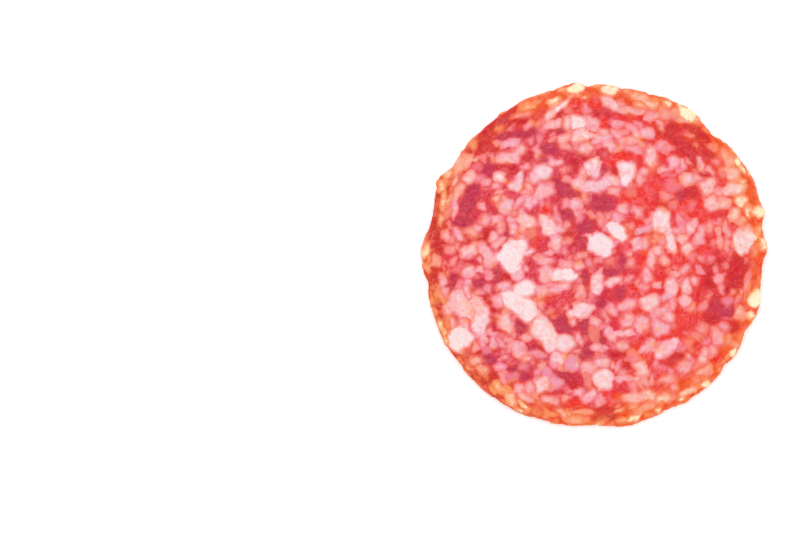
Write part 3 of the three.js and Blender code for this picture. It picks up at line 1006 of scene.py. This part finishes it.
def lean_tones(points, seed):
    """How much of each named tone the lean has at each point."""
    x, y = points[:, 0], points[:, 1]
    radius = np.hypot(x, y)
    ripple = wander(points, 6.0, seed + 3)
    tones = {name: np.zeros(len(points)) for name in TONES}
    tones["maroon"] += (0.34 + 0.3 * ripple[:, 0]) * ease(13.0, -2.0, x) * ease(38.0, 33.0, radius)
    tones["scarlet"] += (0.6 + 0.5 * ripple[:, 1]) * ease(2.0, 14.0, x)
    northeast = np.exp(-((x - 24.0) ** 2 + (y - 24.0) ** 2) / 15.0**2)
    east = np.exp(-((x - 33.0) ** 2 + (y + 6.0) ** 2) / 12.0**2)
    tones["crimson"] += 0.75 * np.maximum(northeast, east) * (1.0 + 0.5 * ripple[:, 2])
    # Dried lean round the rim: amber, with deep red inside it at the top. On the left it is a darker rust
    # tone, partly dried lean and partly painted shade along that edge.
    edge = radius + 1.5 * ripple[:, 2]
    dried = ease(35.0, 41.0, edge) * (0.95 + 0.3 * ripple[:, 0])
    angle = np.degrees(np.arctan2(y, x)) + 8.0 * ripple[:, 1]
    top = ease(45.0, 75.0, angle) * ease(140.0, 120.0, angle)
    left = np.maximum(ease(118.0, 135.0, angle), ease(-95.0, -125.0, angle))
    tones["crimson"] += 0.6 * ease(33.0, 36.0, edge) * ease(39.5, 37.5, edge) * top
    tones["rust"] += 0.9 * dried * left
    tones["amber"] += dried * (1.0 - 0.35 * top * ease(40.0, 38.0, edge)) * (1.0 - left)
    tones["amber"] += 0.35 * np.exp(-((x - 24.0) ** 2 + (y + 30.0) ** 2) / 12.0**2)
    shaken = points + 0.5 * wander(points, 1.8, seed + 4)
    for px, py, length, width, turn, tone in LEAN_PATCHES:
        along, across = turned(shaken[:, 0] - px, shaken[:, 1] - py, math.radians(turn))
        inside = ease(1.5, 0.75, np.hypot(along / (0.5 * length), across / (0.5 * width)))
        for name in TONES:
            if name == tone:
                tones[name] = np.maximum(tones[name], inside)
            else:
                tones[name] = tones[name] * (1.0 - 0.85 * inside)
    return {name: np.clip(value, 0.0, 1.0) for name, value in tones.items()}


def put_vectors(mesh, name, *columns):
    """Stores three numbers for each vertex."""
    rows = np.column_stack(columns).astype(np.float32)
    layer = mesh.attributes.new(name, "FLOAT_VECTOR", "POINT")
    layer.data.foreach_set("vector", np.ascontiguousarray(rows).ravel())


class Wiring:
    """Adds nodes to a tree, in columns, and joins them."""

    ROWS = 6
    COLUMN_WIDTH = 220
    ROW_HEIGHT = 190

    def __init__(self, tree):
        self.tree = tree
        self.made = 0

    def add(self, kind, **settings):
        """One more node of this kind, below the last one or at the top of the next column."""
        node = self.tree.nodes.new(kind)
        column, row = divmod(self.made, self.ROWS)
        node.location = (self.COLUMN_WIDTH * column, -self.ROW_HEIGHT * row)
        self.made += 1
        for key, value in settings.items():
            setattr(node, key, value)
        return node

    def feed(self, socket, value):
        """Joins a socket to another one, or gives it a plain value."""
        if isinstance(value, bpy.types.NodeSocket):
            self.tree.links.new(value, socket)
        elif value is not None:
            socket.default_value = value

    def maths(self, operation, a, b=None, c=None, clamp=False):
        node = self.add("ShaderNodeMath", operation=operation, use_clamp=clamp)
        for socket, value in zip(node.inputs, (a, b, c)):
            self.feed(socket, value)
        return node.outputs[0]

    def times(self, a, b, clamp=False):
        return self.maths("MULTIPLY", a, b, clamp=clamp)

    def sloped(self, value, slope, start, clamp=False):
        """The value times slope, plus start."""
        return self.maths("MULTIPLY_ADD", value, slope, start, clamp)

    def distance_from(self, value, level):
        """How far the value is from the level, either way."""
        return self.maths("ABSOLUTE", self.maths("SUBTRACT", value, level))

    def scaled(self, value, factor):
        node = self.add("ShaderNodeVectorMath", operation="SCALE")
        self.feed(node.inputs[0], value)
        self.feed(node.inputs["Scale"], factor)
        return node.outputs["Vector"]

    def between(self, value, low, high, to_low=0.0, to_high=1.0):
        """A smooth change from to_low, at low, to to_high, at high."""
        node = self.add("ShaderNodeMapRange", interpolation_type="SMOOTHSTEP")
        for key, number in (
            ("Value", value),
            ("From Min", low),
            ("From Max", high),
            ("To Min", to_low),
            ("To Max", to_high),
        ):
            self.feed(node.inputs[key], number)
        return node.outputs["Result"]

    def mix_value(self, share, a, b):
        node = self.add("ShaderNodeMix", data_type="FLOAT")
        for socket, value in zip((node.inputs[0], node.inputs[2], node.inputs[3]), (share, a, b)):
            self.feed(socket, value)
        return node.outputs[0]

    def mix(self, share, a, b, blend="MIX"):
        node = self.add("ShaderNodeMix", data_type="RGBA", blend_type=blend)
        for socket, value in zip((node.inputs[0], node.inputs[6], node.inputs[7]), (share, a, b)):
            self.feed(socket, value)
        return node.outputs[2]

    def noise(self, place, scale, detail=2.0, roughness=0.5, distortion=0.0):
        node = self.add("ShaderNodeTexNoise")
        self.feed(node.inputs["Vector"], place)
        node.inputs["Scale"].default_value = scale
        node.inputs["Detail"].default_value = detail
        node.inputs["Roughness"].default_value = roughness
        node.inputs["Distortion"].default_value = distortion
        return node.outputs["Fac"]

    def stored(self, name):
        """The three numbers that the skin stores under this name."""
        return self.add("ShaderNodeAttribute", attribute_name=name).outputs["Vector"]

    def split(self, value):
        node = self.add("ShaderNodeSeparateXYZ")
        self.feed(node.inputs[0], value)
        return node.outputs


# The colours that the marbling is given, each from the setting of the same name.
COLOUR_INPUTS = (
    "Lean", "Maroon", "Crimson", "Scarlet", "Amber", "Rust",
    "Fat", "White Fat", "Lilac Fat", "Peach Fat", "Cream Fat",
)
# The other values that the marbling is given: seam width and edge softness in millimetres, then shares.
NUMBER_INPUTS = (
    ("Seam Width", 0.16),
    ("Edge Softness", 0.22),
    ("Fibre", 1.0),
    ("Flecks", 1.0),
    ("Dryness", 0.0),
)


class GroundMeat:
    """The marbling of fat and lean as one node group, shared by the cut faces and the rim. Lengths in it
    are millimetres, and a noise's scale is how many times it repeats in a millimetre."""

    DEEPER_RED = (0.85, 0.45, 0.55, 1.0)
    WARM_TINT = (1.0, 1.0, 0.76, 1.0)
    COOL_TINT = (1.0, 0.79, 1.0, 1.0)
    DRY_TINT = (1.0, 1.0, 0.58, 1.0)

    def __init__(self):
        self.tree = bpy.data.node_groups.new("Ground Meat", "ShaderNodeTree")
        self.make_sockets()
        w = self.wiring = Wiring(self.tree)
        self.given = w.add("NodeGroupInput").outputs
        self.place = w.scaled(w.add("ShaderNodeTexCoord").outputs["Object"], 1.0 / MM)
        self.white, self.cast, self.edge = w.split(w.stored("fat_looks"))
        self.maroon, self.crimson, self.scarlet = w.split(w.stored("lean_tones"))
        self.amber, self.rust, self.near_rim = w.split(w.stored("lean_extra"))
        self.joined, self.pressed, _ = w.split(w.stored("fat_joins"))
        self.along = w.stored("fibre_place")
        self.find_fat()
        self.find_drift()
        lean = self.colour_lean()
        fat = self.colour_fat()
        out = w.add("NodeGroupOutput").inputs
        w.feed(out["Color"], self.tint(w.mix(self.cover, lean, fat)))
        w.feed(out["Roughness"], self.roughness())
        w.feed(out["Height"], self.height())

    def make_sockets(self):
        face = self.tree.interface
        for name in COLOUR_INPUTS:
            face.new_socket(name, in_out="INPUT", socket_type="NodeSocketColor")
        for name, default in NUMBER_INPUTS:
            socket = face.new_socket(name, in_out="INPUT", socket_type="NodeSocketFloat")
            socket.default_value = default
        face.new_socket("Color", in_out="OUTPUT", socket_type="NodeSocketColor")
        face.new_socket("Roughness", in_out="OUTPUT", socket_type="NodeSocketFloat")
        face.new_socket("Height", in_out="OUTPUT", socket_type="NodeSocketFloat")

    def find_fat(self):
        """Where the fat is: its depth, how far it covers the lean, its core, and the halo round it."""
        w, place = self.wiring, self.place
        depths = []
        for name in ("fat_depth_a", "fat_depth_b"):
            depths.extend(w.split(w.stored(name)))
        deepest = depths[0]
        for depth in depths[1:]:
            deepest = w.maths("MAXIMUM", deepest, depth)
        # Where grains are pressed together the seam between them closes, in part or altogether.
        closed = w.between(w.noise(place, 0.3, detail=2.0, roughness=0.6), 0.42, 0.66, 0.0, 0.6)
        closed = w.maths("MULTIPLY_ADD", self.pressed, 0.9, closed, clamp=True)
        core_depth, depth = (
            w.mix_value(closed, deepest, w.maths("MINIMUM", self.joined, w.maths("ADD", deepest, gain)))
            for gain in (0.8, 0.55)
        )
        # Pink grains have a more ragged edge than white ones.
        ragged = w.maths("SUBTRACT", w.noise(place, 0.5, detail=4.0, roughness=0.62), 0.5)
        ragged = w.times(ragged, w.sloped(self.white, -1.3, 2.1))
        seam = w.between(w.noise(place, 0.32, detail=1.0), 0.3, 0.7, 0.0, 2.0)
        seam = w.times(seam, self.given["Seam Width"])
        self.depth = w.maths("SUBTRACT", w.maths("ADD", depth, ragged), seam)
        soft = w.times(w.sloped(self.edge, 1.5, 0.5), self.given["Edge Softness"])
        cover = w.between(self.depth, w.times(soft, -1.15), soft)
        self.cover = w.times(cover, w.between(self.white, 0.1, 0.6, 0.7, 1.0))
        self.core = w.between(w.maths("ADD", core_depth, w.times(ragged, 0.5)), -0.15, 1.25)
        self.halo = w.between(self.depth, -0.9, 0.0)

    def find_drift(self):
        """The whole mass turns a little more lilac here and a little more orange there."""
        w = self.wiring
        drift = w.noise(self.place, 0.3, detail=3.0, roughness=0.6, distortion=0.5)
        self.cool = w.between(drift, 0.52, 0.72)
        self.warm = w.between(drift, 0.48, 0.3)

    def colour_lean(self):
        """Lean: its tone, then a mottle, fat that shows through it, fibres, threads and flecks."""
        w, place, given = self.wiring, self.place, self.given
        patchy = w.between(w.noise(place, 1.3, detail=3.0, roughness=0.7), 0.3, 0.62, 0.62, 1.0)
        lean = w.mix(w.times(self.warm, 0.34), given["Lean"], given["Amber"])
        lean = w.mix(w.times(self.maroon, patchy), lean, given["Maroon"])
        lean = w.mix(w.times(self.crimson, patchy), lean, given["Crimson"])
        lean = w.mix(self.scarlet, lean, given["Scarlet"])
        amber = w.maths("MAXIMUM", self.amber, w.times(given["Dryness"], 0.6))
        lean = w.mix(amber, lean, given["Amber"])
        # The rust tone: partly dried lean, partly painted shade along the left rim.
        lean = w.mix(self.rust, lean, given["Rust"])
        dark = w.mix(1.0, lean, self.DEEPER_RED, "MULTIPLY")
        mottle = w.noise(place, 0.6, detail=4.0, roughness=0.65, distortion=0.6)
        lean = w.mix(w.between(mottle, 0.4, 0.68, 0.0, 0.7), lean, dark)
        # Fat that lies under a thin layer of lean shows through it as soft paler patches, and less so
        # where the lean is dark.
        under = w.noise(place, 0.42, detail=2.5, roughness=0.55, distortion=1.0)
        under = w.between(under, 0.46, 0.66, 0.0, 0.42)
        thin = w.maths("SUBTRACT", 1.0, w.maths("MAXIMUM", self.maroon, self.crimson), clamp=True)
        thin = w.sloped(thin, 0.75, 0.25)
        lean = w.mix(w.times(under, thin), lean, given["Fat"])
        # Pale streaks and dark grooves follow the fibres.
        self.fibre = w.noise(self.along, 1.0, detail=3.0, roughness=0.6, distortion=0.8)
        streak = w.times(w.times(w.between(self.fibre, 0.5, 0.78), given["Fibre"]), thin)
        lean = w.mix(w.times(streak, 0.3), lean, given["Fat"])
        groove = w.times(w.between(self.fibre, 0.48, 0.25), given["Fibre"])
        lean = w.mix(w.times(groove, 0.4), lean, dark)
        lean = w.mix(w.times(self.halo, 0.22), lean, given["Amber"])
        # Thin dark threads and thin pale ones wind through the lean and along its seams.
        thread = w.noise(place, 0.8, detail=3.0, roughness=0.55, distortion=1.4)
        self.thread = w.times(w.between(w.distance_from(thread, 0.5), 0.035, 0.0), given["Fibre"])
        lean = w.mix(w.times(self.thread, 0.5), lean, dark)
        pale = w.noise(self.along, 0.7, detail=3.0, roughness=0.5, distortion=1.2)
        pale = w.times(w.between(w.distance_from(pale, 0.47), 0.03, 0.0), given["Fibre"])
        lean = w.mix(w.times(pale, 0.3), lean, given["Peach Fat"])
        fleck = w.noise(place, 1.0, detail=2.0, roughness=0.55, distortion=0.4)
        fleck = w.times(w.times(w.between(fleck, 0.55, 0.7), given["Flecks"]), thin)
        return w.mix(w.times(fleck, 0.35), lean, given["Fat"])

    def colour_fat(self):
        """Fat: pink where it is thin, white in the core of a good grain, lilac, peach or cream by its
        cast, with faint veins."""
        w, place, given = self.wiring, self.place, self.given
        cloud = w.between(w.noise(place, 0.7, detail=3.0, roughness=0.55), 0.25, 0.75, -0.2, 0.2)
        white = w.maths("POWER", w.maths("ADD", self.white, cloud, clamp=True), 1.3)
        self.whiteness = white = w.times(white, w.sloped(self.core, 1.05, 0.05), clamp=True)
        fat = w.mix(white, given["Fat"], given["White Fat"])
        lilac = w.times(self.cast, -0.6, clamp=True)
        drifted = w.times(w.sloped(self.maroon, 0.3, 0.32), w.sloped(white, -0.7, 1.0))
        lilac = w.maths("MAXIMUM", lilac, w.times(self.cool, drifted))
        fat = w.mix(lilac, fat, given["Lilac Fat"])
        peach = w.maths("MAXIMUM", w.times(self.cast, 0.9, clamp=True), w.times(self.warm, 0.62))
        fat = w.mix(w.times(peach, w.sloped(white, -0.8, 1.0)), fat, given["Peach Fat"])
        cream = w.times(w.between(self.cast, 0.7, 0.95), w.between(white, 0.2, 0.8))
        fat = w.mix(cream, fat, given["Cream Fat"])
        vein = w.noise(place, 1.1, detail=2.0, roughness=0.5, distortion=1.2)
        fat = w.mix(w.between(w.distance_from(vein, 0.5), 0.05, 0.0, 0.0, 0.16), fat, given["Fat"])
        fat = w.mix(w.times(self.thread, 0.22), fat, given["Lean"])
        skirt = w.times(w.maths("SUBTRACT", 1.0, self.core), 0.36)
        return w.mix(skirt, fat, w.mix(0.36, given["Amber"], given["Fat"]))

    def tint(self, colour):
        """Tints everything but the whitest fat by the drift, and yellower towards the dry rim."""
        w = self.wiring
        spared = w.times(w.times(self.whiteness, self.cover), 0.8)
        tinted = w.sloped(spared, -1.25, 1.0, clamp=True)
        colour = w.mix(w.times(self.warm, tinted), colour, self.WARM_TINT, "MULTIPLY")
        colour = w.mix(w.times(self.cool, tinted), colour, self.COOL_TINT, "MULTIPLY")
        drying = w.times(self.near_rim, w.maths("SUBTRACT", 0.85, spared, clamp=True))
        return w.mix(drying, colour, self.DRY_TINT, "MULTIPLY")

    def roughness(self):
        """Fat is a little glossier than lean, and a dry face is duller."""
        w = self.wiring
        gloss = w.noise(self.place, 1.4, detail=3.0, roughness=0.6)
        rough = w.maths("MULTIPLY_ADD", self.cover, -0.06, w.sloped(gloss, 0.22, 0.3))
        return w.maths("MULTIPLY_ADD", self.given["Dryness"], 0.18, rough)

    def height(self):
        """Fat swells, fibres stand up in the lean, and small pits cover both, though less on fat."""
        w = self.wiring
        swell = w.times(w.between(self.depth, -0.25, 0.5), 0.05)
        threads = w.times(w.maths("SUBTRACT", self.fibre, 0.5), 0.07)
        threads = w.times(threads, w.maths("SUBTRACT", 1.0, self.cover))
        pits = w.noise(self.place, 2.6, detail=3.0, roughness=0.6)
        pits = w.times(w.maths("SUBTRACT", pits, 0.5), 0.05)
        pits = w.times(pits, w.sloped(self.cover, -0.6, 1.0))
        return w.maths("ADD", w.maths("ADD", swell, threads), pits)


# Each finish: its name, what it gives the marbling, the strength of its bump, and how much light spreads
# under its surface.
FINISHES = (
    (
        "Cut Meat",
        {"Seam Width": 0.16, "Edge Softness": 0.36, "Fibre": 1.0, "Flecks": 1.0, "Dryness": 0.0},
        0.5,
        0.45,
    ),
    (
        "Peeled Rim",
        {"Seam Width": 0.08, "Edge Softness": 0.4, "Fibre": 1.0, "Flecks": 1.2, "Dryness": 0.45},
        0.7,
        0.3,
    ),
)


def meat_material(name, group, inputs, bump_strength, glow):
    """One finish of the meat: the shared marbling with its own values."""
    material = bpy.data.materials.new(name)
    material.use_nodes = True
    tree = material.node_tree
    tree.nodes.clear()
    w = Wiring(tree)
    meat = w.add("ShaderNodeGroup", node_tree=group)
    for key, value in inputs.items():
        meat.inputs[key].default_value = value
    bump = w.add("ShaderNodeBump")
    bump.inputs["Strength"].default_value = bump_strength
    bump.inputs["Distance"].default_value = MM
    w.feed(bump.inputs["Height"], meat.outputs["Height"])
    shader = w.add("ShaderNodeBsdfPrincipled")
    w.feed(shader.inputs["Base Color"], meat.outputs["Color"])
    w.feed(shader.inputs["Roughness"], meat.outputs["Roughness"])
    w.feed(shader.inputs["Normal"], bump.outputs["Normal"])
    shader.inputs["IOR"].default_value = 1.4
    shader.inputs["Specular IOR Level"].default_value = 0.35
    shader.inputs["Subsurface Weight"].default_value = glow
    shader.inputs["Subsurface Radius"].default_value = (1.0, 0.35, 0.28)
    shader.inputs["Subsurface Scale"].default_value = 0.6 * MM
    out = w.add("ShaderNodeOutputMaterial")
    w.feed(out.inputs["Surface"], shader.outputs["BSDF"])
    return material


def meat_finishes(settings):
    """Both finishes, with the colours that the settings hold."""
    colours = {
        key: (*getattr(settings, key.lower().replace(" ", "_")), 1.0) for key in COLOUR_INPUTS
    }
    group = GroundMeat().tree
    return [
        meat_material(name, group, {**colours, **numbers}, bump_strength, glow)
        for name, numbers, bump_strength, glow in FINISHES
    ]


class SAUSAGE_OT_salami_slice(bpy.types.Operator):
    """Makes the slice: its two cut faces and its peeled rim, marbled right through"""

    bl_idname = "sausage.salami_slice"
    bl_label = "Salami Slice"
    bl_options = {"REGISTER", "UNDO"}

    def execute(self, context):
        settings = context.scene.sausage_slice
        rng = np.random.default_rng(settings.seed)
        outline = Outline()
        skin = SliceMesh(outline)
        points = skin.place()

        table = named_grains(outline.thickness)
        pack_small_grains(table, outline, settings, rng)
        pack_rim_grains(table, outline, settings)
        table.close(rng)
        ragged = settings.raggedness / MM
        shaken = points + ragged * wander(points, 2.3, settings.seed)
        shaken = shaken + 0.4 * ragged * wander(points, 0.9, settings.seed + 1)
        # The pattern was laid out on a flat slice, so the lift of the rim is taken off again.
        shaken[:, 2] -= outline.lift(skin.angle, skin.share)
        marbling = Marbling(table, shaken)

        self.raise_grains(skin, points, marbling.depth.max(axis=1), settings)
        mesh = bpy.data.meshes.new(NODE + "_skin")
        mesh.from_pydata((points * MM).tolist(), [], skin.quads)
        mesh.validate()
        mesh.update()
        mesh.shade_smooth()
        self.paint(mesh, shaken, marbling, table, settings)
        self.unwrap(mesh, skin)

        piece = bpy.data.objects.new("cured_sausage_slice", mesh)
        context.scene.collection.objects.link(piece)
        for material in meat_finishes(settings):
            mesh.materials.append(material)
        finish = np.zeros(len(mesh.polygons), np.int32)
        finish[skin.rim_faces_from :] = 1
        mesh.polygons.foreach_set("material_index", finish)
        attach(piece, "root")
        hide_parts(NODE)
        return {"FINISHED"}

    def raise_grains(self, skin, points, deepest, settings):
        """Lets the fat stand proud of the lean, and roughens the faces and the rim."""
        fat = ease(-0.25, 0.55, deepest)
        uneven = wander(points, 7.0, settings.seed + 7)
        fine = wander(points, 1.1, settings.seed + 8)
        relief = settings.relief / MM
        lift = relief * (fat - 0.5) + 0.35 * relief * fine[:, 0] + 0.06 * uneven[:, 0]
        points[skin.on_top, 2] += lift[skin.on_top]
        # The underside's lowest points stay on the table, so its lean is hollowed upwards.
        hollow = relief * (1.0 - fat) + 0.3 * relief * (1.0 + fine[:, 1])
        points[skin.on_bottom, 2] += np.maximum(hollow, 0.0)[skin.on_bottom]
        edge = ease(0.955, 1.0, skin.share)
        outwards = settings.rim_relief / MM * (fat - 0.55) + 0.12 * fine[:, 2]
        push = 1.0 + edge * outwards / np.maximum(np.hypot(points[:, 0], points[:, 1]), 1.0)
        points[:, 0] *= push
        points[:, 1] *= push

    def paint(self, mesh, points, marbling, table, settings):
        """Stores on the skin what the finishes read: depth in fat, casts, tones and fibre."""
        put_vectors(mesh, "fat_depth_a", *marbling.depth[:, 0:3].T)
        put_vectors(mesh, "fat_depth_b", *marbling.depth[:, 3:6].T)
        fat = np.maximum(marbling.fat_owner, 0)
        known = marbling.fat_owner >= 0
        white = np.where(known, table.white[fat], 0.4)
        cast = np.where(known, table.cast[fat], 0.0)
        put_vectors(mesh, "fat_looks", white, cast, scatter(fat))
        put_vectors(mesh, "fat_joins", marbling.joined, marbling.pressed, np.zeros(len(points)))
        tones = lean_tones(points, settings.seed)
        put_vectors(mesh, "lean_tones", tones["maroon"], tones["crimson"], tones["scarlet"])
        near_rim = ease(36.5, 42.0, np.hypot(points[:, 0], points[:, 1]))
        put_vectors(mesh, "lean_extra", tones["amber"], tones["rust"], near_rim)
        # Fibres run along each grain, and each grain has fibres of its own.
        owner = np.maximum(marbling.owner, 0)
        turn = table.turn[owner] + 0.35 * np.sin(owner * 2.4)
        along, across = turned(points[:, 0], points[:, 1], turn)
        put_vectors(mesh, "fibre_place", along * 0.45, across * 2.6, points[:, 2] * 1.2 + owner * 0.37)

    def unwrap(self, mesh, skin):
        """Lays both cut faces side by side on one map, the rim as a ring round the upper one. The two
        circles stand at opposite corners of the map, with a narrow gap between them."""
        margin = 0.002  # left free round the map, as a share of its width
        gap = 1.5  # left free between the circles, in millimetres, as are the spare widths below
        thickness = skin.outline.thickness
        under_radius = skin.outline.radii.max() + 0.6
        upper_radius = under_radius + thickness + 0.8
        scale = 1.0 / ((upper_radius + under_radius) * (1.0 + math.sqrt(0.5)) + gap)
        outer = skin.outline.radius(skin.angle)
        down = np.where(skin.on_rim, (1.0 - skin.height) * thickness, 0.0)
        reach = skin.share * outer + down
        cos, sin = np.cos(skin.angle), np.sin(skin.angle)
        upper = [margin + (upper_radius + reach * way) * scale for way in (cos, sin)]
        under = [1.0 - margin - (under_radius + reach * way) * scale for way in (cos, -sin)]
        corner = np.empty(len(mesh.loops), np.int32)
        mesh.loops.foreach_get("vertex_index", corner)
        places = [np.where(skin.on_bottom, low, high)[corner] for low, high in zip(under, upper)]
        places = np.column_stack(places)
        # The last row of the rim shares its vertices with the underside, so it gets places of its own.
        rim_corner = np.arange(len(corner)) >= 4 * skin.rim_faces_from
        shared = rim_corner & skin.on_bottom[corner]
        at = corner[shared]
        far = outer[at] + thickness
        places[shared, 0] = margin + (upper_radius + far * cos[at]) * scale
        places[shared, 1] = margin + (upper_radius + far * sin[at]) * scale
        layer = mesh.uv_layers.new(name="OFBake")
        layer.data.foreach_set("uv", places.astype(np.float32).ravel())


def soft_lamp(scene, name, place, size, power):
    """A round soft lamp that shines on the middle of the slice."""
    lamp = bpy.data.lights.new(name, "AREA")
    lamp.shape = "DISK"
    lamp.size = size
    lamp.energy = power
    holder = bpy.data.objects.new(name, lamp)
    holder.location = place
    holder.rotation_euler = (-holder.location).to_track_quat("-Z", "Y").to_euler()
    scene.collection.objects.link(holder)


class SAUSAGE_OT_stage(bpy.types.Operator):
    """Makes the floor, the light and the camera that looks straight down"""

    bl_idname = "sausage.stage"
    bl_label = "Stage"
    bl_options = {"REGISTER", "UNDO"}

    # Places and lengths are in metres.
    CAMERA_PLACE = (-48.1 * MM, -3.3 * MM, 600.0 * MM)
    SEEN_WIDTH = 202.2 * MM
    FLOOR_HALF = 4.0
    FLOOR_DROP = 0.02 * MM
    KEY_PLACE = (-0.35, 0.45, 0.75)
    KEY_SIZE = 0.5
    GLINT_PLACE = (0.12, 0.3, 0.6)
    GLINT_SIZE = 0.03
    GLINT_SHARE = 0.12  # the small lamp's power, as a share of the large one's

    def execute(self, context):
        scene = context.scene
        settings = scene.sausage_stage
        self.make_floor(scene, settings)
        self.make_light(scene, settings)
        self.make_camera(scene)
        return {"FINISHED"}

    def make_floor(self, scene, settings):
        """A wide pale floor, a hair below the slice."""
        half = self.FLOOR_HALF
        mesh = bpy.data.meshes.new("floor")
        corners = [(-half, -half, 0.0), (half, -half, 0.0), (half, half, 0.0), (-half, half, 0.0)]
        mesh.from_pydata(corners, [], [(0, 1, 2, 3)])
        floor = bpy.data.objects.new("floor", mesh)
        floor.location.z = -self.FLOOR_DROP
        scene.collection.objects.link(floor)
        material = bpy.data.materials.new("Pale Floor")
        material.use_nodes = True
        shader = material.node_tree.nodes["Principled BSDF"]
        shader.inputs["Base Color"].default_value = (*settings.floor, 1.0)
        shader.inputs["Roughness"].default_value = 0.9
        shader.inputs["Specular IOR Level"].default_value = 0.1
        shader.inputs["Emission Color"].default_value = (1.0, 1.0, 1.0, 1.0)
        shader.inputs["Emission Strength"].default_value = settings.floor_glow
        mesh.materials.append(material)

    def make_light(self, scene, settings):
        """Even white light from all sides, one large soft lamp, and a small one for the wet glints."""
        world = bpy.data.worlds.new("Studio")
        world.use_nodes = True
        sky = world.node_tree.nodes["Background"]
        sky.inputs["Color"].default_value = (1.0, 1.0, 1.0, 1.0)
        sky.inputs["Strength"].default_value = settings.daylight
        scene.world = world
        soft_lamp(scene, "key", self.KEY_PLACE, self.KEY_SIZE, settings.key)
        soft_lamp(scene, "glint", self.GLINT_PLACE, self.GLINT_SIZE, self.GLINT_SHARE * settings.key)

    def make_camera(self, scene):
        """A camera straight above, a little to the left of the slice."""
        camera = bpy.data.cameras.new("camera")
        camera.sensor_width = 36.0
        camera.lens = camera.sensor_width * self.CAMERA_PLACE[2] / self.SEEN_WIDTH
        camera.dof.use_dof = False
        camera.clip_start = 0.01
        camera.clip_end = 20.0
        holder = bpy.data.objects.new("camera", camera)
        holder.location = self.CAMERA_PLACE
        scene.collection.objects.link(holder)
        scene.camera = holder
        scene.view_settings.view_transform = "Standard"
        scene.view_settings.look = "None"


class SAUSAGE_PT_sidebar(bpy.types.Panel):
    """Lists the pieces and what can be changed on them"""

    bl_label = "Cured Sausage"
    bl_idname = "SAUSAGE_PT_sidebar"
    bl_space_type = "VIEW_3D"
    bl_region_type = "UI"
    bl_category = "Sausage"

    def draw(self, context):
        layout = self.layout
        for title, settings, operator in (
            ("Slice", context.scene.sausage_slice, SAUSAGE_OT_salami_slice),
            ("Stage", context.scene.sausage_stage, SAUSAGE_OT_stage),
        ):
            box = layout.box()
            box.label(text=title)
            for name in settings.__annotations__:
                box.prop(settings, name)
            box.operator(operator.bl_idname)


CLASSES = (
    SliceSettings,
    StageSettings,
    SAUSAGE_OT_salami_slice,
    SAUSAGE_OT_stage,
    SAUSAGE_PT_sidebar,
)


def register():
    for cls in CLASSES:
        bpy.utils.register_class(cls)
    bpy.types.Scene.sausage_slice = PointerProperty(type=SliceSettings)
    bpy.types.Scene.sausage_stage = PointerProperty(type=StageSettings)


def unregister():
    del bpy.types.Scene.sausage_stage
    del bpy.types.Scene.sausage_slice
    for cls in reversed(CLASSES):
        bpy.utils.unregister_class(cls)


def main():
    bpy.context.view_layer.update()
    register()
    bpy.ops.sausage.salami_slice()
    bpy.ops.sausage.stage()


if __name__ == "__main__":
    main()
